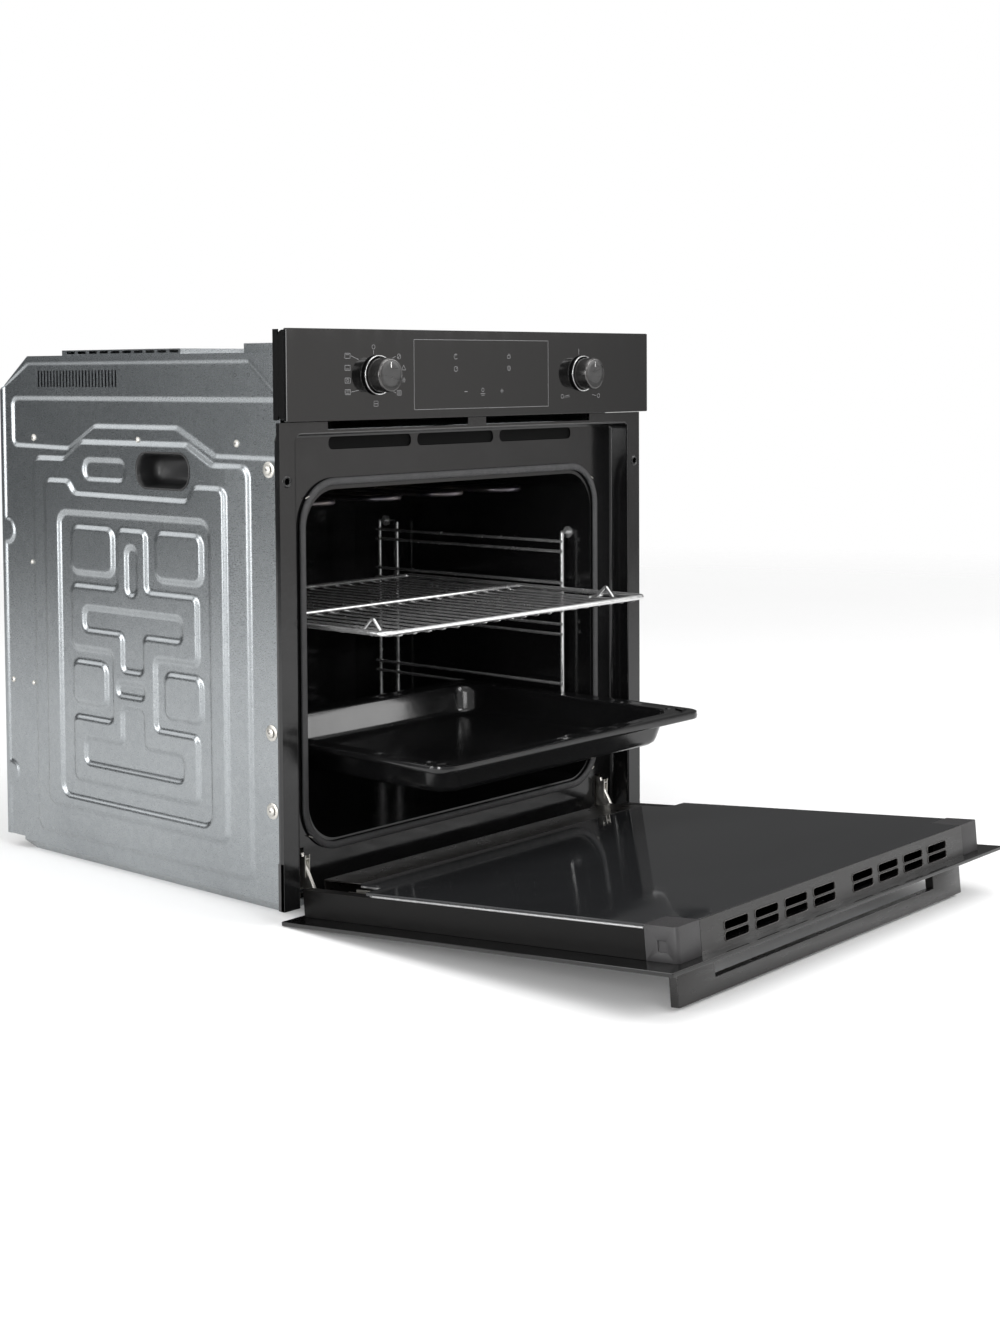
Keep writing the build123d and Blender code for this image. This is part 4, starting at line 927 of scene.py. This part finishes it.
tray = Build()
tray.loft(inside_rings, caps=(False, True))
tray.loft(outside_rings, caps=(False, True))
tray.make("enamelled_tray", "tray", "black_enamel", ("baking_tray",), angle=60)
dimples = Build()
for x in range(-150, 151, 50):
    dimples.lathe((x, TY0 + 33, TZ - 8.5), (0, 0.25, 1),
                  ((-0.6, 3.0), (0.3, 2.8), (1.0, 2.0), (1.3, 0.9), (1.35, 0.01)), 20)
for side in SIDES:
    for y in (TY0 + 40, TY0 + 110, TY1 - 60):
        dimples.lathe((side * (TX - 17), y, TZ + 0.2), (0, 0, 1),
                      ((-0.4, 4.0), (0.5, 3.7), (1.3, 2.6), (1.6, 1.2), (1.65, 0.01)), 24)
    arrow = [(side * (TX - 20), TY0 + 18), (side * (TX - 8), TY0 + 20), (side * (TX - 14), TY0 + 32)]
    dimples.loft([[(a, b, TZ + 0.4) for a, b in arrow], [(a * 0.998, b, TZ + 1.9) for a, b in arrow]])
dimples.make("tray_pressed_marks", "tray", "black_enamel", angle=60)

# ---------------------------------------------------------------- door edge strips, frame details
DOOR_PIVOT = Vector((0, 16.8, 3.5))
DOOR_OPEN = radians(84.7)


def door_put(x, y, z):
    """Closed-door layout millimetres to the row frame with the door open, as it is at rest."""
    dy, dz = y - DOOR_PIVOT.y, z - DOOR_PIVOT.z
    return put(x, DOOR_PIVOT.y + dy * cos(DOOR_OPEN) - dz * sin(DOOR_OPEN),
               DOOR_PIVOT.z + dy * sin(DOOR_OPEN) + dz * cos(DOOR_OPEN))


DOOR_BOX_TOP = 484.5
SLOT_FIRST_X, SLOT_PITCH = 35, 49
# Round rims of the door slots, in a paint lighter than the door's: a painted highlight on the rims.
slot_rims = Build(door_put)
for side in SIDES:
    for i in range(4):
        for y in (13.0, 22.8):
            middle = side * (SLOT_FIRST_X + SLOT_PITCH * i)
            rim = [Vector((middle + a, y + b, DOOR_BOX_TOP + 0.1)) for a, b in rrect(38.4, 8.4, 3.2, 4)]
            slot_rims.tube(rim, 0.62, 8, closed=True)
slot_rims.make("door_slot_rims", "door", "black_metal", angle=60, mat=SLOT_RIM_HIGHLIGHT)

STRIP_Y = 32.6
strips = Build(door_put)
for side in SIDES:
    corners = ((269.6, 447.6), (269.6, 99.2), (239.2, 99.2), (238.0, 61.0))
    strips.tube(rounded([(side * x, STRIP_Y, z) for x, z in corners], 11, 8), 1.35, 10)
strips.make("inner_glass_edge_strips", "door", "aluminium", angle=60)

RIM_FACE = 12.4                                 # front of the frame round the recess
CABINET_HOLE_X, CABINET_HOLE_Z = 287.5, 440
hole_collars = Build()
for side in SIDES:
    hole_collars.lathe((side * CABINET_HOLE_X, RIM_FACE, CABINET_HOLE_Z), FRONT, (
        (-1.0, 3.4), (0.1, 3.3), (0.7, 3.7), (1.0, 4.6), (0.8, 5.6), (0.2, 6.4), (-0.4, 6.6)),
        36, caps=OPEN_ENDS)
hole_collars.make("frame_hole_collars", "root", "black_enamel", angle=60)

# Rounded lip and cove of the door recess.
RECESS_X, RECESS_TOP_Z, RECESS_FLOOR = 276.0, 487.0, 41.0
COVE = 4.5


def recess_path(inset, y, bend):
    x, top = RECESS_X - inset, RECESS_TOP_Z - inset
    return rounded([(-x, y, 1.0), (-x, y, top), (x, y, top), (x, y, 1.0)], bend, 8)


cove_rows = []
for level in range(6):
    turn = radians(90 * level / 5)
    inset = COVE * (1 - sin(turn))
    cove_rows.append(recess_path(inset, RECESS_FLOOR - COVE * (1 - cos(turn)) - 0.05, 8.2 - inset))
recess = Build()
recess.tube(recess_path(-0.7, RIM_FACE + 1.9, 8.7), 2.0, 12)
recess.loft(cove_rows, closed=False, caps=OPEN_ENDS)
recess.make("recess_lip_and_cove", "root", "black_enamel", angle=60)

# Painted shade: black cups behind the cabinet holes and a black backing behind the air slots stand in for the
# shade inside them; also matt black side returns of the fascia carrier.
AIR_SLOTS = ((-139.5, 127), (-4, 128), (134.5, 131))        # middle and width
AIR_SLOT_LOW, AIR_SLOT_HIGH = 467.8, 483.6
shade = Build()
for side in SIDES:
    shade.lathe((side * CABINET_HOLE_X, RIM_FACE, CABINET_HOLE_Z), FRONT,
                ((-0.9, 3.35), (-6.0, 3.3), (-6.2, 0.01)), 28, caps=OPEN_ENDS)
for x, width in AIR_SLOTS:
    a, b = x - width / 2, x + width / 2
    shade.loft([[(a, y, AIR_SLOT_LOW), (b, y, AIR_SLOT_LOW), (b, y, AIR_SLOT_HIGH), (a, y, AIR_SLOT_HIGH)]
                for y in (42.7, 43.3)])
for side in SIDES:
    a, b = side * 293.2, side * 294.8
    shade.loft([[(a, 16.8, z), (b, 16.8, z), (b, 24.0, z), (a, 24.0, z)] for z in (502.0, 594.0)])
shade.make("shade_backings_and_side_returns", "root", "black_plastic", angle=40, mat=MATT_BLACK)

trims = Build()
for side in SIDES:
    x1, x0 = side * 297.5, side * 296.2
    section = rounded([(x1, RIM_FACE, 0), (x1, 21.6, 0), (x0, 21.6, 0), (x0, RIM_FACE, 0)],
                      0.5, 3, closed=True)
    trims.loft([[(p.x, p.y, z) for p in section] for z in (1.0, 50.0)])
trims.make("frame_side_trims", "root", "grey_plastic", angle=50)

# ---------------------------------------------------------------- materials of the CAD nodes that stay
for node, obj in nodes.items():
    obj.data.materials.clear()
    obj.data.materials.append(SURFACES[SLOT_OF[node]])

# ---------------------------------------------------------------- stage, light and camera
def floor_paper():
    """Pale paper that fades out far from the object."""
    s = Surface("studio_floor", (0.86, 0.86, 0.86), 0.0, 0.9, Specular_IOR_Level=0.0,
                Emission_Color=colour((1, 1, 1)), Emission_Strength=0.05)
    s.set("Base Color", s.tint(s.noise(1.5, 2), 0.3, 0.7, (0.88, 0.88, 0.88), (0.9, 0.9, 0.9)))
    radius = s.tree.nodes.new("ShaderNodeVectorMath")
    radius.operation = "LENGTH"
    s.link(s.coords, radius.inputs[0])
    s.set("Alpha", s.ranged(radius.outputs["Value"], 1.6, 4.0, 1.0, 0.0))
    return s.mat


FLOOR_REACH = 6.0
floor_mesh = bpy.data.meshes.new("studio_floor")
floor_mesh.from_pydata([(FLOOR_REACH * a, FLOOR_REACH * b, 0) for a, b in SQUARE], [], [(0, 1, 2, 3)])
floor_mesh.materials.append(floor_paper())
new_object("studio_floor", floor_mesh)

world = bpy.data.worlds.new("studio")
bpy.context.scene.world = world
world.use_nodes = True
sky = world.node_tree
sky.nodes.clear()
direction = sky.nodes.new("ShaderNodeTexCoord").outputs["Generated"]


def towards(vector, low, high):
    """0 to 1 as a direction turns towards a vector."""
    dot = sky.nodes.new("ShaderNodeVectorMath")
    dot.operation = "DOT_PRODUCT"
    dot.inputs[1].default_value = Vector(vector).normalized()
    sky.links.new(direction, dot.inputs[0])
    span = sky.nodes.new("ShaderNodeMapRange")
    span.interpolation_type = "SMOOTHSTEP"
    span.inputs["From Min"].default_value = low
    span.inputs["From Max"].default_value = high
    sky.links.new(dot.outputs["Value"], span.inputs["Value"])
    return span.outputs["Result"]


# Grey sky, lighter above, with dark flags and one bright wall: direction, start and end of the fade, colour.
studio = mixed(sky, towards((0, 0, 1), -0.1, 0.9), (0.5, 0.505, 0.51), (1.0, 1.0, 1.0))
for vector, low, high, shade_of in (((-0.58, 0.81, 0.05), 0.7, 0.97, (0.09, 0.095, 0.1)),
                                    ((0.72, 0.69, 0.05), 0.35, 0.95, (0.1, 0.1, 0.1)),
                                    ((0.78, -0.62, 0.0), 0.7, 0.97, (0.34, 0.34, 0.34)),
                                    ((0.5, -0.87, 0.05), 0.88, 0.99, (1.12, 1.09, 1.07))):
    studio = mixed(sky, towards(vector, low, high), studio, shade_of)
light_path = sky.nodes.new("ShaderNodeLightPath")
seen = mixed(sky, light_path.outputs["Is Camera Ray"], studio, (1.0, 1.0, 1.0))
background = sky.nodes.new("ShaderNodeBackground")
background.inputs["Strength"].default_value = 1.0
sky.links.new(seen, background.inputs["Color"])
output = sky.nodes.new("ShaderNodeOutputWorld")
sky.links.new(background.outputs["Background"], output.inputs["Surface"])


def softbox(name, place, target, size, power):
    data = bpy.data.lights.new(name, "AREA")
    data.shape = "RECTANGLE"
    data.size, data.size_y = size
    data.energy = power
    obj = bpy.data.objects.new(name, data)
    bpy.context.scene.collection.objects.link(obj)
    obj.location = place
    obj.rotation_euler = (Vector(target) - Vector(place)).to_track_quat("-Z", "Y").to_euler()
    obj.visible_camera = False


softbox("overhead_softbox", (0.2, -0.9, 3.2), (0, 0, 0.3), (2.6, 2.6), 26)
softbox("left_softbox", (-2.5, 0.8, 0.8), (-0.27, -0.15, 0.3), (0.8, 1.5), 22)
softbox("rear_softbox", (-1.45, 2.05, 1.55), (-0.27, 0.2, 0.3), (1.2, 1.3), 9)
softbox("side_softbox", (-3.3, -1.15, 0.9), (-0.27, 0.0, 0.3), (0.7, 1.6), 50)
softbox("front_softbox", (-0.9, -3.4, 2.0), (0, 0, 0.3), (1.2, 0.8), 20)
softbox("knob_softbox", (0.95, -2.6, 2.2), (-0.1, 0, 0.5), (1.0, 0.7), 22)
softbox("right_softbox", (2.3, -2.5, 1.15), (0, 0, 0.2), (1.2, 0.9), 16)

CAMERA_PLACE = (-1640.4, -1464.7, 550.5)
YAW, DOWN_PITCH, ROLL = 0.844, 0.052, 0.006      # radians: towards +X from +Y, down, clockwise
IMAGE_W, IMAGE_H = 1000, 1333                    # the frame that the lens and the shift are given in
FOCAL_LENGTH = 1975.7
AXIS_X, AXIS_Y = 489.9, 473.8                    # where the lens axis meets the frame
SENSOR = 36.0
camera_data = bpy.data.cameras.new("camera")
camera_data.sensor_fit = "VERTICAL"
camera_data.sensor_height = SENSOR
camera_data.lens = SENSOR * FOCAL_LENGTH / IMAGE_H
camera_data.shift_x = (IMAGE_W / 2 - AXIS_X) / IMAGE_H
camera_data.shift_y = -(IMAGE_H / 2 - AXIS_Y) / IMAGE_H
camera_data.clip_start = 0.05
camera = bpy.data.objects.new("camera", camera_data)
bpy.context.scene.collection.objects.link(camera)
forward = Vector((sin(YAW) * cos(DOWN_PITCH), cos(YAW) * cos(DOWN_PITCH), -sin(DOWN_PITCH)))
right = forward.cross(Vector((0, 0, 1))).normalized()
up = right.cross(forward)
right, up = (right * cos(ROLL) - up * sin(ROLL), right * sin(ROLL) + up * cos(ROLL))
axes = Matrix((right, up, -forward)).transposed().to_4x4()
camera.matrix_world = Matrix.Translation(put(*CAMERA_PLACE)) @ axes
bpy.context.scene.camera = camera
bpy.context.scene.view_settings.view_transform = "Standard"
